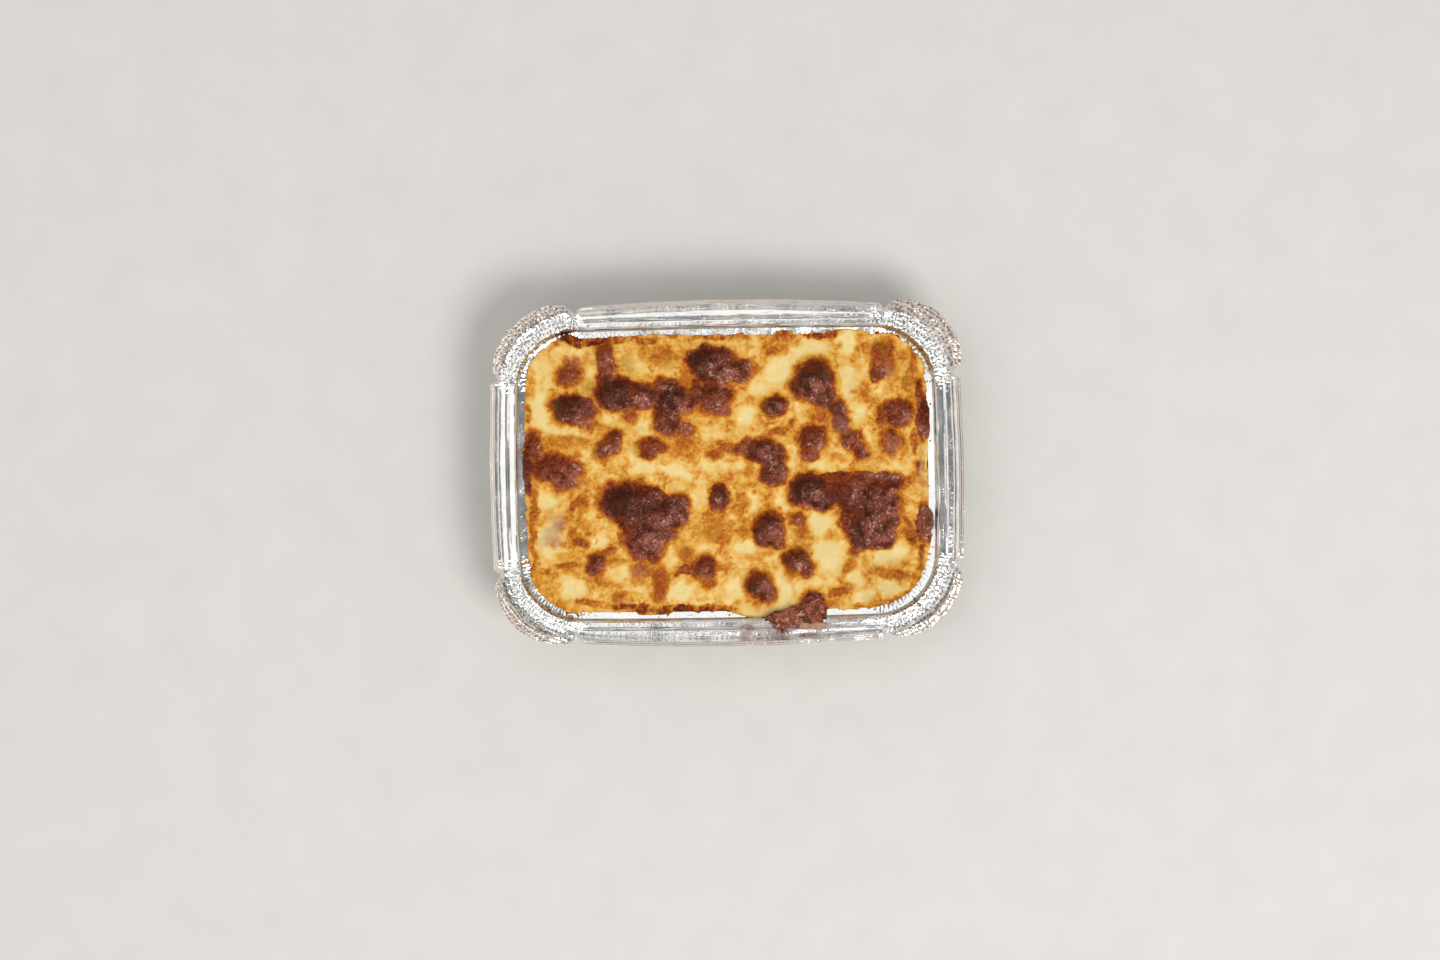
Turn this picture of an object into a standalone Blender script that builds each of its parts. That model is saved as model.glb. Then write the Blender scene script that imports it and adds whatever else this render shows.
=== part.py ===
import math

import bmesh
import bpy
from mathutils import Vector, noise

# A baked pasta meal in an oblong aluminium foil tray, with a browned and blistered crust.
# X runs along the tray and Y across it. The origin is the middle of the base, on the table.
# Sizes are millimetres. They become metres where a vertex is set.

MM = 0.001
NAME = "foil_tray_meal"

# Wall of the tray: its top line is a rounded rectangle
WALL_HALF_LENGTH = 98.0
WALL_HALF_WIDTH = 68.3
WALL_CORNER = 30.0
WALL_BOW = 0.6

# Outer lip: the middles of the sides stand out further than their ends
LIP_HALF_LENGTH = 110.2
LIP_HALF_WIDTH = 80.7
SHORT_LIP_BOW = 1.0
LONG_LIP_BOW = 2.5

# Ears: the lip spreads out flat at the corners, past a folded notch at each end
EAR_CREASE = 0.45
NOTCH_HALF_ANGLE = 5.0
SHORT_NOTCH_DEPTH = 3.2
LONG_NOTCH_DEPTH = 2.4
NOTCH_DROP = 1.2
# Each corner: side in X, side in Y, half length, half width and radius of the ear's outline,
# Y of the notch on the short side, X of the notch on the long side,
# and how far the wall below the ledge is drawn in at the middle of the corner
CORNERS = (
    (1, 1, 110.0, 79.6, 28.5, 45.1, 74.9, 0.5),
    (-1, 1, 108.6, 79.6, 32.0, 45.6, 69.8, 3.2),
    (-1, -1, 109.0, 78.5, 30.0, 46.2, 70.8, 2.5),
    (1, -1, 109.2, 77.6, 31.5, 44.3, 73.7, 3.5),
)

# Section of the sheet, from the floor out to the hem: distance out from the wall's top line, height
FOIL = 0.5
FLOOR_EDGE = (-18.5, FOIL)
FLOOR_BEND = (-14.4, 1.2)
WALL_FOOT = (-12.3, 4.2)
WALL_MIDDLE = (-8.3, 17.0)
LEDGE_INNER = (-4.2, 30.0)
LEDGE_OUTER = (-1.3, 30.6)
SHOULDER_INNER = (-0.5, 35.1)
SHOULDER_OUTER = (0.5, 36.0)
FLANGE_OUTER = (7.4, 35.7)
FLANGE_TO_LIP = 4.4
LIP_TOP = 41.2
LIP_HEM_DROP = 1.3
LIP_HEM_WIDTH = 2.2
EAR_TOP = 39.0
EAR_EDGE = 37.2
EAR_SLOPE_WIDTH = 4.0
PLEAT_DEPTH = 0.5

STRAIGHT_LONG_STEPS = 18
STRAIGHT_SHORT_STEPS = 10
EAR_STEPS = 14

# Baked pasta: fills the tray up to just under the ledge
GAP = 0.35
CRUST_EDGE = 29.6
CRUST_LEVEL = 30.7
CRUST_SHOULDER = 7.0
CRUST_ROLL = 0.8
CRUST_ROLL_SIZE = 24.0
CRUST_LUMP = 0.5
CRUST_LUMP_SIZE = 9.0
CELLS_LONG = 54
CELLS_WIDE = 36
SIDE_HEIGHTS = (26.0, 15.0, 4.2)

# Blisters of the browned crust: X, Y, length, width, turn in degrees, height
BLISTERS = (
    (-71, 29, 20, 15, -15, 2.2),
    (-50, 38, 21, 14, 0, 2.4),
    (-36, 37, 13, 9, 0, 1.6),
    (-26, 32, 27, 15, 75, 2.4),
    (-4, 49, 30, 17, 0, 3.0),
    (-5, 34, 17, 17, 0, 2.0),
    (23, 31, 14, 11, 0, 2.2),
    (42, 41, 21, 20, -30, 2.8),
    (57, 19, 24, 10, -55, 1.6),
    (41, 14, 16, 15, 0, 2.0),
    (18, 8, 18, 17, 0, 2.2),
    (21, -4, 12, 12, 0, 1.8),
    (81, 26, 20, 14, 0, 2.4),
    (76, 13, 12, 16, 0, 1.5),
    (73, 50, 12, 20, 0, 1.8),
    (-55, 54, 9, 18, 0, 1.6),
    (-74, 45, 12, 14, 0, 1.2),
    (-54, 14, 11, 16, -35, 1.5),
    (-35, 12, 18, 9, -5, 1.4),
    (-80, 1, 27, 17, 0, 2.2),
    (-41, -17, 38, 24, -15, 3.2),
    (-38, -30, 18, 18, 0, 2.6),
    (-32, -50, 9, 20, 0, 1.2),
    (-61, -42, 10, 13, 0, 1.6),
    (-4, -11, 9, 12, 0, 1.6),
    (-11, -46, 11, 12, 0, 1.6),
    (19, -26, 16, 17, 0, 2.4),
    (14, -52, 15, 15, 0, 2.6),
    (32, -42, 15, 14, 0, 2.4),
    (33, -25, 9, 14, 0, 1.4),
    (39, -8, 20, 17, 0, 2.6),
    (66, -12, 38, 22, -8, 3.3),
    (68, -27, 20, 18, 30, 2.6),
)
BLISTER_FLAT = 0.35
BLISTER_FOOT = 1.15

# Overflow: crust that ran over the ledge and baked on: X, Y, half length, half width, height
OVERFLOWS = (
    (19, -62.8, 17.5, 5.6, 33.6),
    (40.5, -63.5, 7.5, 7.6, 37.4),
    (25, -68.0, 8.5, 4.6, 37.0),
    (33.5, -66.4, 8.0, 4.8, 36.8),
    (91.4, -24.0, 4.0, 8.0, 32.0),
)
OVERFLOW_ROOT = (-7.6, 27.0)
OVERFLOW_CREST = (-1.0, SHOULDER_OUTER[1] + GAP + 0.05)
OVERFLOW_STAGGER = 0.17  # between the undersides, so that no two of them coincide
OVERFLOW_SEGMENTS = 20
OVERFLOW_RINGS = 8
OVERFLOW_FULLNESS = 0.6


# A smooth step from 0 to 1 as value goes from low to high
def ease(value, low, high):
    t = min(max((value - low) / (high - low), 0.0), 1.0)
    return t * t * (3.0 - 2.0 * t)


# How far the middle of a side bows out at a place along it
def bow(depth, along, half_length):
    return depth * max(0.0, 1.0 - (along / half_length) ** 2)


# Centre of the arc that rounds a corner of the wall, for the corner at +X +Y
def arc_centre():
    return Vector((WALL_HALF_LENGTH - WALL_CORNER, WALL_HALF_WIDTH - WALL_CORNER))


# Where the ear's outline meets a ray from the arc's centre, as a distance along the ray
def ear_reach(direction, half_length, half_width, radius):
    centre = arc_centre()
    ear = Vector((half_length - radius, half_width - radius)) - centre
    along = ear.dot(direction)
    reach = along + math.sqrt(max(along * along - ear.length_squared + radius ** 2, 0.0))
    point = direction * reach
    if point.y < ear.y:
        return (half_length - centre.x) / direction.x
    if point.x < ear.x:
        return (half_width - centre.y) / direction.y
    return reach


# How deep the notch is at an angle, as a share of its full depth
def notch_share(angle, notch_angle):
    return max(0.0, 1.0 - abs(angle - notch_angle) / NOTCH_HALF_ANGLE)


# How far a corner's wall is drawn in on a ray from the arc's centre, most at its middle
def drawn_in(direction, depth):
    return depth * ease(2.0 * direction.x * direction.y, 0.0, 1.0)


# The stations of one corner, from its short side round to its long side.
# A station is a point of the wall's top line, the way out from it, the lip's reach past it,
# how much of an ear the lip is there (0 to 1), how deep in a notch it is (0 to 1), its pleat,
# and how far the wall is drawn in
def corner_stations(half_length, half_width, ear_radius, short_notch, long_notch, draw):
    centre = arc_centre()
    lip_x = LIP_HALF_LENGTH - SHORT_LIP_BOW
    lip_y = LIP_HALF_WIDTH - LONG_LIP_BOW
    first = math.degrees(math.atan2(short_notch - centre.y, lip_x - centre.x))
    last = 90.0 - math.degrees(math.atan2(long_notch - centre.x, lip_y - centre.y))
    step = (last - first - 2 * NOTCH_HALF_ANGLE) / EAR_STEPS
    angles = [0.0, first - NOTCH_HALF_ANGLE, first]
    angles += [first + NOTCH_HALF_ANGLE + step * i for i in range(EAR_STEPS + 1)]
    angles += [last, min(last + NOTCH_HALF_ANGLE, 89.0), 90.0]
    stations = []
    for count, angle in enumerate(angles):
        direction = Vector((math.cos(math.radians(angle)), math.sin(math.radians(angle))))
        straight = min(
            (lip_x - centre.x) / max(direction.x, 1e-6),
            (lip_y - centre.y) / max(direction.y, 1e-6),
        )
        ear = ease(angle, first, first + 2 * NOTCH_HALF_ANGLE)
        ear *= ease(-angle, -last, 2 * NOTCH_HALF_ANGLE - last)
        wide = ear_reach(direction, half_length, half_width, ear_radius)
        in_short = notch_share(angle, first)
        in_long = notch_share(angle, last)
        reach = straight + (wide - straight) * ear - WALL_CORNER
        reach -= in_short * SHORT_NOTCH_DEPTH + in_long * LONG_NOTCH_DEPTH
        base = centre + direction * WALL_CORNER
        wall_in = drawn_in(direction, draw)
        stations.append((base, direction, reach, ear, in_short + in_long, count % 2, wall_in))
    return stations


# The stations of a straight side between two corners, without its end points
def straight_stations(along, out, half_along, wall, lip, lip_bow, steps):
    stations = []
    for i in range(1, steps):
        place = half_along * (2.0 * i / steps - 1.0)
        wall_here = wall + bow(WALL_BOW, place, half_along)
        lip_here = lip - lip_bow + bow(lip_bow, place, half_along)
        stations.append((along * place + out * wall_here, out, lip_here - wall_here, 0.0, 0.0, 0, 0.0))
    return stations


# All stations round the rim, anticlockwise from the short side at +X
def rim_stations():
    centre = arc_centre()
    sides = (
        (Vector((-1, 0)), Vector((0, 1)), centre.x, "long"),
        (Vector((0, -1)), Vector((-1, 0)), centre.y, "short"),
        (Vector((1, 0)), Vector((0, -1)), centre.x, "long"),
        (Vector((0, 1)), Vector((1, 0)), centre.y, "short"),
    )
    stations = []
    for corner, side in zip(CORNERS, sides):
        side_x, side_y = corner[:2]
        turned = [
            (Vector((base.x * side_x, base.y * side_y)), Vector((out.x * side_x, out.y * side_y)), *rest)
            for base, out, *rest in corner_stations(*corner[2:])
        ]
        if side_x * side_y < 0:
            turned.reverse()
        stations += turned
        along, out, half_along, kind = side
        if kind == "long":
            sizes = (WALL_HALF_WIDTH, LIP_HALF_WIDTH, LONG_LIP_BOW, STRAIGHT_LONG_STEPS)
        else:
            sizes = (WALL_HALF_LENGTH, LIP_HALF_LENGTH, SHORT_LIP_BOW, STRAIGHT_SHORT_STEPS)
        stations += straight_stations(along, out, half_along, *sizes)
    return stations


# The sheet's section at one station, from the floor's edge to the hem
def tray_section(reach, ear, notch, pleat, wall_in):
    flange = min(FLANGE_OUTER[0], reach - FLANGE_TO_LIP * (1.0 - 0.3 * notch))
    hem_width = LIP_HEM_WIDTH + (EAR_SLOPE_WIDTH - LIP_HEM_WIDTH) * ear
    crest = reach - hem_width
    crease = EAR_CREASE * (2 * pleat - 1) * ear
    top = LIP_TOP + (EAR_TOP - LIP_TOP) * ear - NOTCH_DROP * notch
    hem = top - LIP_HEM_DROP + (EAR_EDGE - EAR_TOP + LIP_HEM_DROP) * ear
    pleat_out = PLEAT_DEPTH * pleat
    rows = [(out - wall_in, height) for out, height in (FLOOR_EDGE, FLOOR_BEND)]
    rows += [(out + pleat_out - wall_in, height) for out, height in (WALL_FOOT, WALL_MIDDLE, LEDGE_INNER)]
    rows += [(LEDGE_OUTER[0] + pleat_out, LEDGE_OUTER[1]), SHOULDER_INNER, SHOULDER_OUTER]
    rows += [(flange, FLANGE_OUTER[1])]
    rows += [(0.5 * (flange + crest), 0.5 * (FLANGE_OUTER[1] + top) + crease)]
    rows += [(crest, top + crease), (reach, hem + 0.5 * crease)]
    return rows


# Extrudes a ring of edges once and returns the new ring, in the same order
def next_ring(bm, ring):
    edges = [bm.edges.get((a, b)) for a, b in zip(ring, ring[1:] + ring[:1])]
    made = bmesh.ops.extrude_edge_only(bm, edges=edges)["geom"]
    fresh = {v for v in made if isinstance(v, bmesh.types.BMVert)}
    return [next(e.other_vert(v) for e in v.link_edges if e.other_vert(v) in fresh) for v in ring]


def metres(point, height):
    return Vector((point.x * MM, point.y * MM, height * MM))


def make_material(name, colour, roughness, metallic):
    material = bpy.data.materials.new(name)
    material.use_nodes = True
    shader = material.node_tree.nodes["Principled BSDF"]
    shader.inputs["Base Color"].default_value = (*colour, 1.0)
    shader.inputs["Roughness"].default_value = roughness
    shader.inputs["Metallic"].default_value = metallic
    material.diffuse_color = (*colour, 1.0)
    return material


def make_object(bm, name, collection, material):
    mesh = bpy.data.meshes.new(name)
    bm.to_mesh(mesh)
    bm.free()
    mesh.materials.append(material)
    mesh.shade_smooth()
    mesh.set_sharp_from_angle(angle=math.radians(40))
    piece = bpy.data.objects.new(name, mesh)
    collection.objects.link(piece)
    return piece


# The pressed foil tray: one open sheet of rings, thickened outwards and downwards
def make_tray(collection):
    stations = rim_stations()
    sections = [tray_section(*station[2:]) for station in stations]
    bm = bmesh.new()
    ring = bmesh.ops.create_circle(bm, cap_ends=True, segments=len(stations), radius=1.0)["verts"]
    for row in range(len(sections[0])):
        if row:
            ring = next_ring(bm, ring)
        for vert, (base, out, *rest), section in zip(ring, stations, sections):
            offset, height = section[row]
            vert.co = metres(base + out * offset, height)
    bmesh.ops.recalc_face_normals(bm, faces=bm.faces)
    floor = max(bm.faces, key=lambda face: len(face.verts))
    if floor.normal.z < 0:
        bmesh.ops.reverse_faces(bm, faces=bm.faces)
    foil = make_material("annealed aluminium foil", (0.80, 0.80, 0.79), 0.35, 1.0)
    tray = make_object(bm, "foil_tray", collection, foil)
    shell = tray.modifiers.new("sheet", "SOLIDIFY")
    shell.thickness = FOIL * MM
    shell.offset = -1.0
    return tray


# Signed distance outwards from the wall's top line
def wall_offset(x, y):
    x, y = abs(x), abs(y)
    centre = arc_centre()
    y -= bow(WALL_BOW, x, centre.x)
    x -= bow(WALL_BOW, y, centre.y)
    beyond = Vector((max(x - centre.x, 0.0), max(y - centre.y, 0.0)))
    inside = min(max(x - centre.x, y - centre.y), 0.0)
    return beyond.length + inside - WALL_CORNER


# How far the food's outline is drawn in with the wall at a place in plan
def corner_draw(x, y):
    beyond = Vector((abs(x), abs(y))) - arc_centre()
    if min(beyond) <= 0.0:
        return 0.0
    draw = next(corner[-1] for corner in CORNERS if corner[0] * x > 0 and corner[1] * y > 0)
    return drawn_in(beyond.normalized(), draw)


# Height of the crust's top: a slow roll, small lumps and the blisters, falling to the edge
def crust_height(x, y):
    rise = 0.0
    for blister_x, blister_y, length, width, turn, height in BLISTERS:
        turned = math.radians(turn)
        dx, dy = x - blister_x, y - blister_y
        u = (dx * math.cos(turned) + dy * math.sin(turned)) * 2 / length
        v = (dy * math.cos(turned) - dx * math.sin(turned)) * 2 / width
        rise = max(rise, height * (1.0 - ease(math.hypot(u, v), BLISTER_FLAT, BLISTER_FOOT)))
    roll = CRUST_ROLL * noise.noise(Vector((x, y, 0.0)) / CRUST_ROLL_SIZE)
    lump = CRUST_LUMP * noise.noise(Vector((x, y, 40.0)) / CRUST_LUMP_SIZE)
    inward = LEDGE_INNER[0] - GAP - wall_offset(x, y) - corner_draw(x, y)
    full = CRUST_LEVEL + roll + lump + rise
    return CRUST_EDGE + (full - CRUST_EDGE) * ease(inward, -0.5, CRUST_SHOULDER)


# Moves a point of a plain rectangle onto the rounded outline, keeping the middle as it is
def round_off(x, y, half_length, half_width, radius):
    over_x = (abs(x) - (half_length - radius)) / radius
    over_y = (abs(y) - (half_width - radius)) / radius
    if over_x > 0 and over_y > 0:
        x = math.copysign(half_length - radius * (1 - over_x * math.sqrt(1 - over_y ** 2 / 2)), x)
        y = math.copysign(half_width - radius * (1 - over_y * math.sqrt(1 - over_x ** 2 / 2)), y)
    return x, y


# The way out from the food's outline at one of its edge points
def way_out(x, y):
    centre = arc_centre()
    over = Vector((max(abs(x) - centre.x, 0.0), max(abs(y) - centre.y, 0.0)))
    if over.x * over.y == 0.0:
        over = Vector((1, 0)) if over.x > 0 else Vector((0, 1))
    over.normalize()
    return Vector((math.copysign(over.x, x), math.copysign(over.y, y)))


# Distance out from the wall's top line to the wall's inner face at a height
def wall_face(height):
    rows = (FLOOR_EDGE, FLOOR_BEND, WALL_FOOT, WALL_MIDDLE, LEDGE_INNER)
    for (low_out, low), (high_out, high) in zip(rows, rows[1:]):
        if height <= high:
            return low_out + (high_out - low_out) * (height - low) / (high - low)
    return LEDGE_INNER[0]


# The food's core: a gridded crust, sides that follow the wall, and a flat base
def make_core(bm):
    edge_out = wall_face(CRUST_EDGE) - GAP
    half_length = WALL_HALF_LENGTH + edge_out
    half_width = WALL_HALF_WIDTH + edge_out
    radius = WALL_CORNER + edge_out
    grid = bmesh.ops.create_grid(bm, x_segments=CELLS_LONG, y_segments=CELLS_WIDE, size=1.0)["verts"]
    outline = {v: wall_outline(v, half_length, half_width, radius) for v in grid if v.is_boundary}
    for vert in grid:
        x, y = round_off(vert.co.x * half_length, vert.co.y * half_width, half_length, half_width, radius)
        y *= 1.0 + bow(WALL_BOW, x, arc_centre().x) / WALL_HALF_WIDTH
        x *= 1.0 + bow(WALL_BOW, y, arc_centre().y) / WALL_HALF_LENGTH
        from_arc = max(wall_offset(x, y) + WALL_CORNER, 0.0)
        place = Vector((x, y)) - way_out(x, y) * corner_draw(x, y) * from_arc / radius
        vert.co = metres(place, crust_height(place.x, place.y))
    first = next(iter(outline))
    ring = [first]
    while len(ring) < len(outline):
        links = [e.other_vert(ring[-1]) for e in ring[-1].link_edges if e.is_boundary]
        ring.append(next(v for v in links if v not in ring[-2:] and (v is not first or len(ring) > 2)))
    starts = [(Vector((v.co.x, v.co.y)) / MM, outline[v]) for v in ring]
    for height in (*SIDE_HEIGHTS, FOIL + GAP):
        ring = next_ring(bm, ring)
        for vert, (start, out) in zip(ring, starts):
            vert.co = metres(start + out * (wall_face(height) - GAP - edge_out), height)
    bmesh.ops.contextual_create(bm, geom=[bm.edges.get(pair) for pair in zip(ring, ring[1:] + ring[:1])])


# The way out from the outline at a grid vertex that still has its place in the unit square
def wall_outline(vert, half_length, half_width, radius):
    x, y = round_off(vert.co.x * half_length, vert.co.y * half_width, half_length, half_width, radius)
    return way_out(x, y)


# Underside of an overflow: a ramp from its root in the food up to just above the flange
def overflow_underside(x, y):
    root_out, root = OVERFLOW_ROOT
    top_out, top = OVERFLOW_CREST
    climb = (wall_offset(x, y) - root_out) / (top_out - root_out)
    return root + (top - root) * min(max(climb, 0.0), 1.0)


# A pad of crust lying over the rim: a ball whose lower half is pressed onto the tray
def make_overflow(bm, lift, x, y, half_length, half_width, height):
    ball = bmesh.ops.create_uvsphere(
        bm, u_segments=OVERFLOW_SEGMENTS, v_segments=OVERFLOW_RINGS, radius=1.0
    )
    for vert in ball["verts"]:
        up = max(vert.co.z, 0.0) ** OVERFLOW_FULLNESS
        place = Vector((x + vert.co.x * half_length, y + vert.co.y * half_width))
        low = overflow_underside(place.x, place.y) + lift
        vert.co = metres(place, low + max(height - low, 1.0) * up)


# Baked pasta with its overflow, fused into one solid
def make_pasta(collection, cutters):
    crust = make_material("baked cheese and sauce crust", (0.56, 0.30, 0.09), 0.5, 0.0)
    bm = bmesh.new()
    make_core(bm)
    bmesh.ops.recalc_face_normals(bm, faces=bm.faces)
    pasta = make_object(bm, "baked_pasta", collection, crust)
    for number, overflow in enumerate(OVERFLOWS):
        bm = bmesh.new()
        make_overflow(bm, number * OVERFLOW_STAGGER, *overflow)
        bmesh.ops.recalc_face_normals(bm, faces=bm.faces)
        pad = make_object(bm, f"overflow_{number}", cutters, crust)
        pad.hide_render = True
        pad.display_type = "WIRE"
    union = pasta.modifiers.new("overflow", "BOOLEAN")
    union.operation = "UNION"
    union.operand_type = "COLLECTION"
    union.collection = cutters
    union.solver = "EXACT"
    bpy.context.view_layer.update()
    fused = bpy.data.meshes.new_from_object(pasta.evaluated_get(bpy.context.evaluated_depsgraph_get()))
    pasta.modifiers.clear()
    pasta.data = fused
    for pad in list(cutters.objects):
        bpy.data.objects.remove(pad, do_unlink=True)
    return pasta


def main():
    for old in list(bpy.data.objects):
        bpy.data.objects.remove(old, do_unlink=True)
    scene = bpy.context.scene
    scene.unit_settings.system = "METRIC"
    parts = bpy.data.collections.new(NAME)
    cutters = bpy.data.collections.new("cutters")
    scene.collection.children.link(parts)
    scene.collection.children.link(cutters)
    make_tray(parts)
    make_pasta(parts, cutters)


main()
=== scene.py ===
# Baked pasta under a browned cheese crust, in an oblong aluminium foil tray.
# X runs along the tray, Y across it and Z up. Sizes are millimetres, made metres where a vertex is set.

import math
import random

import bmesh
import bpy
import numpy as np
from mathutils import Matrix, Vector, noise


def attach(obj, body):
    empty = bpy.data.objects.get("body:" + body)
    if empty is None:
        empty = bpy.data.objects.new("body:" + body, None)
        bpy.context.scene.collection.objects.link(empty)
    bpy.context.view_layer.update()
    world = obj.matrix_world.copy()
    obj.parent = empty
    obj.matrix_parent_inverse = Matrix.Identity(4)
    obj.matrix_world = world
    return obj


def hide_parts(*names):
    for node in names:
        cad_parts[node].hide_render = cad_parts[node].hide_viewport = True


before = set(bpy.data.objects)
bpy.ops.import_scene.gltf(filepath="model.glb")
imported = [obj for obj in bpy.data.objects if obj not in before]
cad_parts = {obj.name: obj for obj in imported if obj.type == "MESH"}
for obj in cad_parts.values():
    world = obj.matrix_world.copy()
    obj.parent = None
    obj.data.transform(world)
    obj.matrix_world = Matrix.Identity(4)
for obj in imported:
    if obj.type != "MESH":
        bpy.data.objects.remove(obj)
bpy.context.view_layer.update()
mm = 0.001
print("frame loaded:", ", ".join(sorted(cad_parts)))


# Small tools for shapes

def ease(value, low, high):
    t = np.clip((value - low) / (high - low), 0.0, 1.0)
    return t * t * (3.0 - 2.0 * t)


def wander(x, y, size, seed):        # smooth noise from about -0.7 to 0.7, one value a point
    return np.array([noise.noise(Vector((a / size, b / size, seed))) for a, b in zip(x, y)])


def cracks(x, y, size, seed):        # 0 along the borders of random cells, higher inside them
    values = []
    for a, b in zip(x, y):
        near = noise.voronoi(Vector((a / size, b / size, seed)))[0]
        values.append(near[1] - near[0])
    return np.array(values)


def stirred(x, y, swing, seed):        # the places, shifted so that patches get uneven borders
    wx = x + swing * wander(x, y, 6.0, seed) + 0.45 * swing * wander(x, y, 2.3, seed + 1.0)
    wy = y + swing * wander(x, y, 6.0, seed + 2.0) + 0.45 * swing * wander(x, y, 2.3, seed + 3.0)
    return wx, wy


def ovalReach(x, y, patch):        # 0 at the middle of an oval patch, 1 on its outline
    px, py, length, width, turn = patch[:5]
    turned = math.radians(turn)
    dx, dy = x - px, y - py
    u = (dx * math.cos(turned) + dy * math.sin(turned)) * 2 / length
    v = (dy * math.cos(turned) - dx * math.sin(turned)) * 2 / width
    return np.hypot(u, v)


def patchShare(x, y, patch, inner, outer):        # 1 inside an oval patch, 0 outside it
    return 1.0 - ease(ovalReach(x, y, patch), inner, outer)


def outsideOf(x, y, patch):        # millimetres outside an oval patch, less than 0 inside it
    return (ovalReach(x, y, patch) - 1.0) * math.sqrt(patch[2] * patch[3]) / 2


def tintShare(x, y, patches):        # the strongest of the patches at each place
    swing, size = 1.5, 5.0
    wx = x + swing * wander(x, y, size, 51.0)
    wy = y + swing * wander(x, y, size, 52.0)
    share = np.zeros_like(x)
    for patch in patches:
        share = np.maximum(share, patch[5] * patchShare(wx, wy, patch, 0.3, 1.2))
    return share


def nextRing(bm, ring):        # extrudes a closed ring of edges and gives the new ring in the same order
    edges = [bm.edges.get(pair) for pair in zip(ring, ring[1:] + ring[:1])]
    made = bmesh.ops.extrude_edge_only(bm, edges=edges)["geom"]
    fresh = {v for v in made if isinstance(v, bmesh.types.BMVert)}
    return [next(e.other_vert(v) for e in v.link_edges if e.other_vert(v) in fresh) for v in ring]


def finishPiece(bm, name, material, node, sharpAngle=180):
    mesh = bpy.data.meshes.new(name)
    bm.to_mesh(mesh)
    bm.free()
    mesh.materials.append(material)
    mesh.shade_smooth()
    if sharpAngle < 180:
        mesh.set_sharp_from_angle(angle=math.radians(sharpAngle))
    piece = bpy.data.objects.new(name, mesh)
    bpy.context.scene.collection.objects.link(piece)
    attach(piece, "root")
    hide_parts(node)
    return piece


# Small tools for materials

def colour(hexValue):        # sRGB hex to linear
    parts = [int(hexValue[i:i + 2], 16) / 255 for i in (0, 2, 4)]
    return [p / 12.92 if p <= 0.04045 else ((p + 0.055) / 1.055) ** 2.4 for p in parts] + [1.0]


def addNode(tree, kind, values=None, links=None, ramp=None, **settings):
    node = tree.nodes.new("ShaderNode" + kind)
    for name, value in settings.items():
        setattr(node, name, value)
    for socket, value in (values or {}).items():
        node.inputs[socket].default_value = value
    for socket, source in (links or {}).items():
        tree.links.new(source, node.inputs[socket])
    if ramp:
        stops = node.color_ramp.elements
        while len(stops) < len(ramp):
            stops.new(1.0)
        for stop, (place, shade) in zip(stops, ramp):
            stop.position = place
            stop.color = colour(shade)
    return node


def newMaterial(name):
    material = bpy.data.materials.new(name)
    material.use_nodes = True
    return material, material.node_tree, material.node_tree.nodes["Principled BSDF"]


# The tray: the same rim, wall and ears as the solid's

tray = {
    "wallHalf": (98.0, 68.3),        # top line of the wall
    "wallCorner": 30.0,
    "wallBow": 0.6,
    "lipHalf": (110.2, 80.7),
    "lipBow": (1.0, 2.5),            # how much the middles of the short and long sides stand out
    # side in X, side in Y, half length, half width and radius of the ear,
    # Y of the short side's notch, X of the long side's, how far the wall is drawn in
    "corners": (
        (1, 1, 110.0, 79.6, 28.5, 45.1, 74.9, 0.5),
        (-1, 1, 108.6, 79.6, 32.0, 45.6, 69.8, 3.2),
        (-1, -1, 109.0, 78.5, 30.0, 46.2, 70.8, 2.5),
        (1, -1, 109.2, 77.6, 31.5, 44.3, 73.7, 3.5),
    ),
    "notchDepth": (3.6, 2.6),        # on the short and long sides
    "notchAngles": (4.2, 7.5),       # from its bottom to the straight side and to the ear, in degrees
    "notchDrop": 1.2,                # how much lower the lip is in a notch
    "cornerSteps": 150,
    "longSteps": 66,
    "shortSteps": 40,
    "sheet": 0.16,
    "crestIn": (2.2, 1.8),           # of the lip from its reach, and how much more on an ear
    "flangeIn": 4.4,
    "hemDrop": 1.3,
    "hemCurl": ((0.25, 0.55), (0.95, 0.6)),        # in and down, of the two rows under the hem
    "earRise": 8.0,                  # degrees in which an ear grows from its notch
    "pleatRise": (6.0, 2.0),         # degrees before and past a notch in which the pleats set in
    "sidePleats": 0.35,              # share of them that runs on along the straight sides
    "sidePleatFade": 9.0,
    "pleatPitch": 3.3,               # degrees of a corner from one pleat to the next
    "pleatDepth": 0.42,
    "ringPitch": 2.1,                # from one pressed arc of an ear to the next
    "ringDepth": 0.38,
    "earBorder": (8.0, 5.0),         # from the lip's reach in to where an ear's border starts and is whole
    "earRidges": ((-0.8, 0.35), (7.6, 0.45)),        # beaded ridges round an ear: distance out, height
    "ridgeWidth": 0.8,
    "crumpleDepth": 0.62,
    "crumpleSizes": (1.15, 3.4),
    "flangeLine": (3.5, 0.5, 0.4),        # pressed along a straight flange: distance out, width, depth
    "flangeBead": (3.6, 4.6, 7.4, 0.28),        # its start, top and end, its height
    "lipLines": (0.5, 0.12),         # along the folded lip: pitch as a share of its width, depth
    "wallFolds": (0.7, 0.28),        # in the wall's corners: how many to a pleat, depth
}
arcX = tray["wallHalf"][0] - tray["wallCorner"]
arcY = tray["wallHalf"][1] - tray["wallCorner"]
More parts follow.
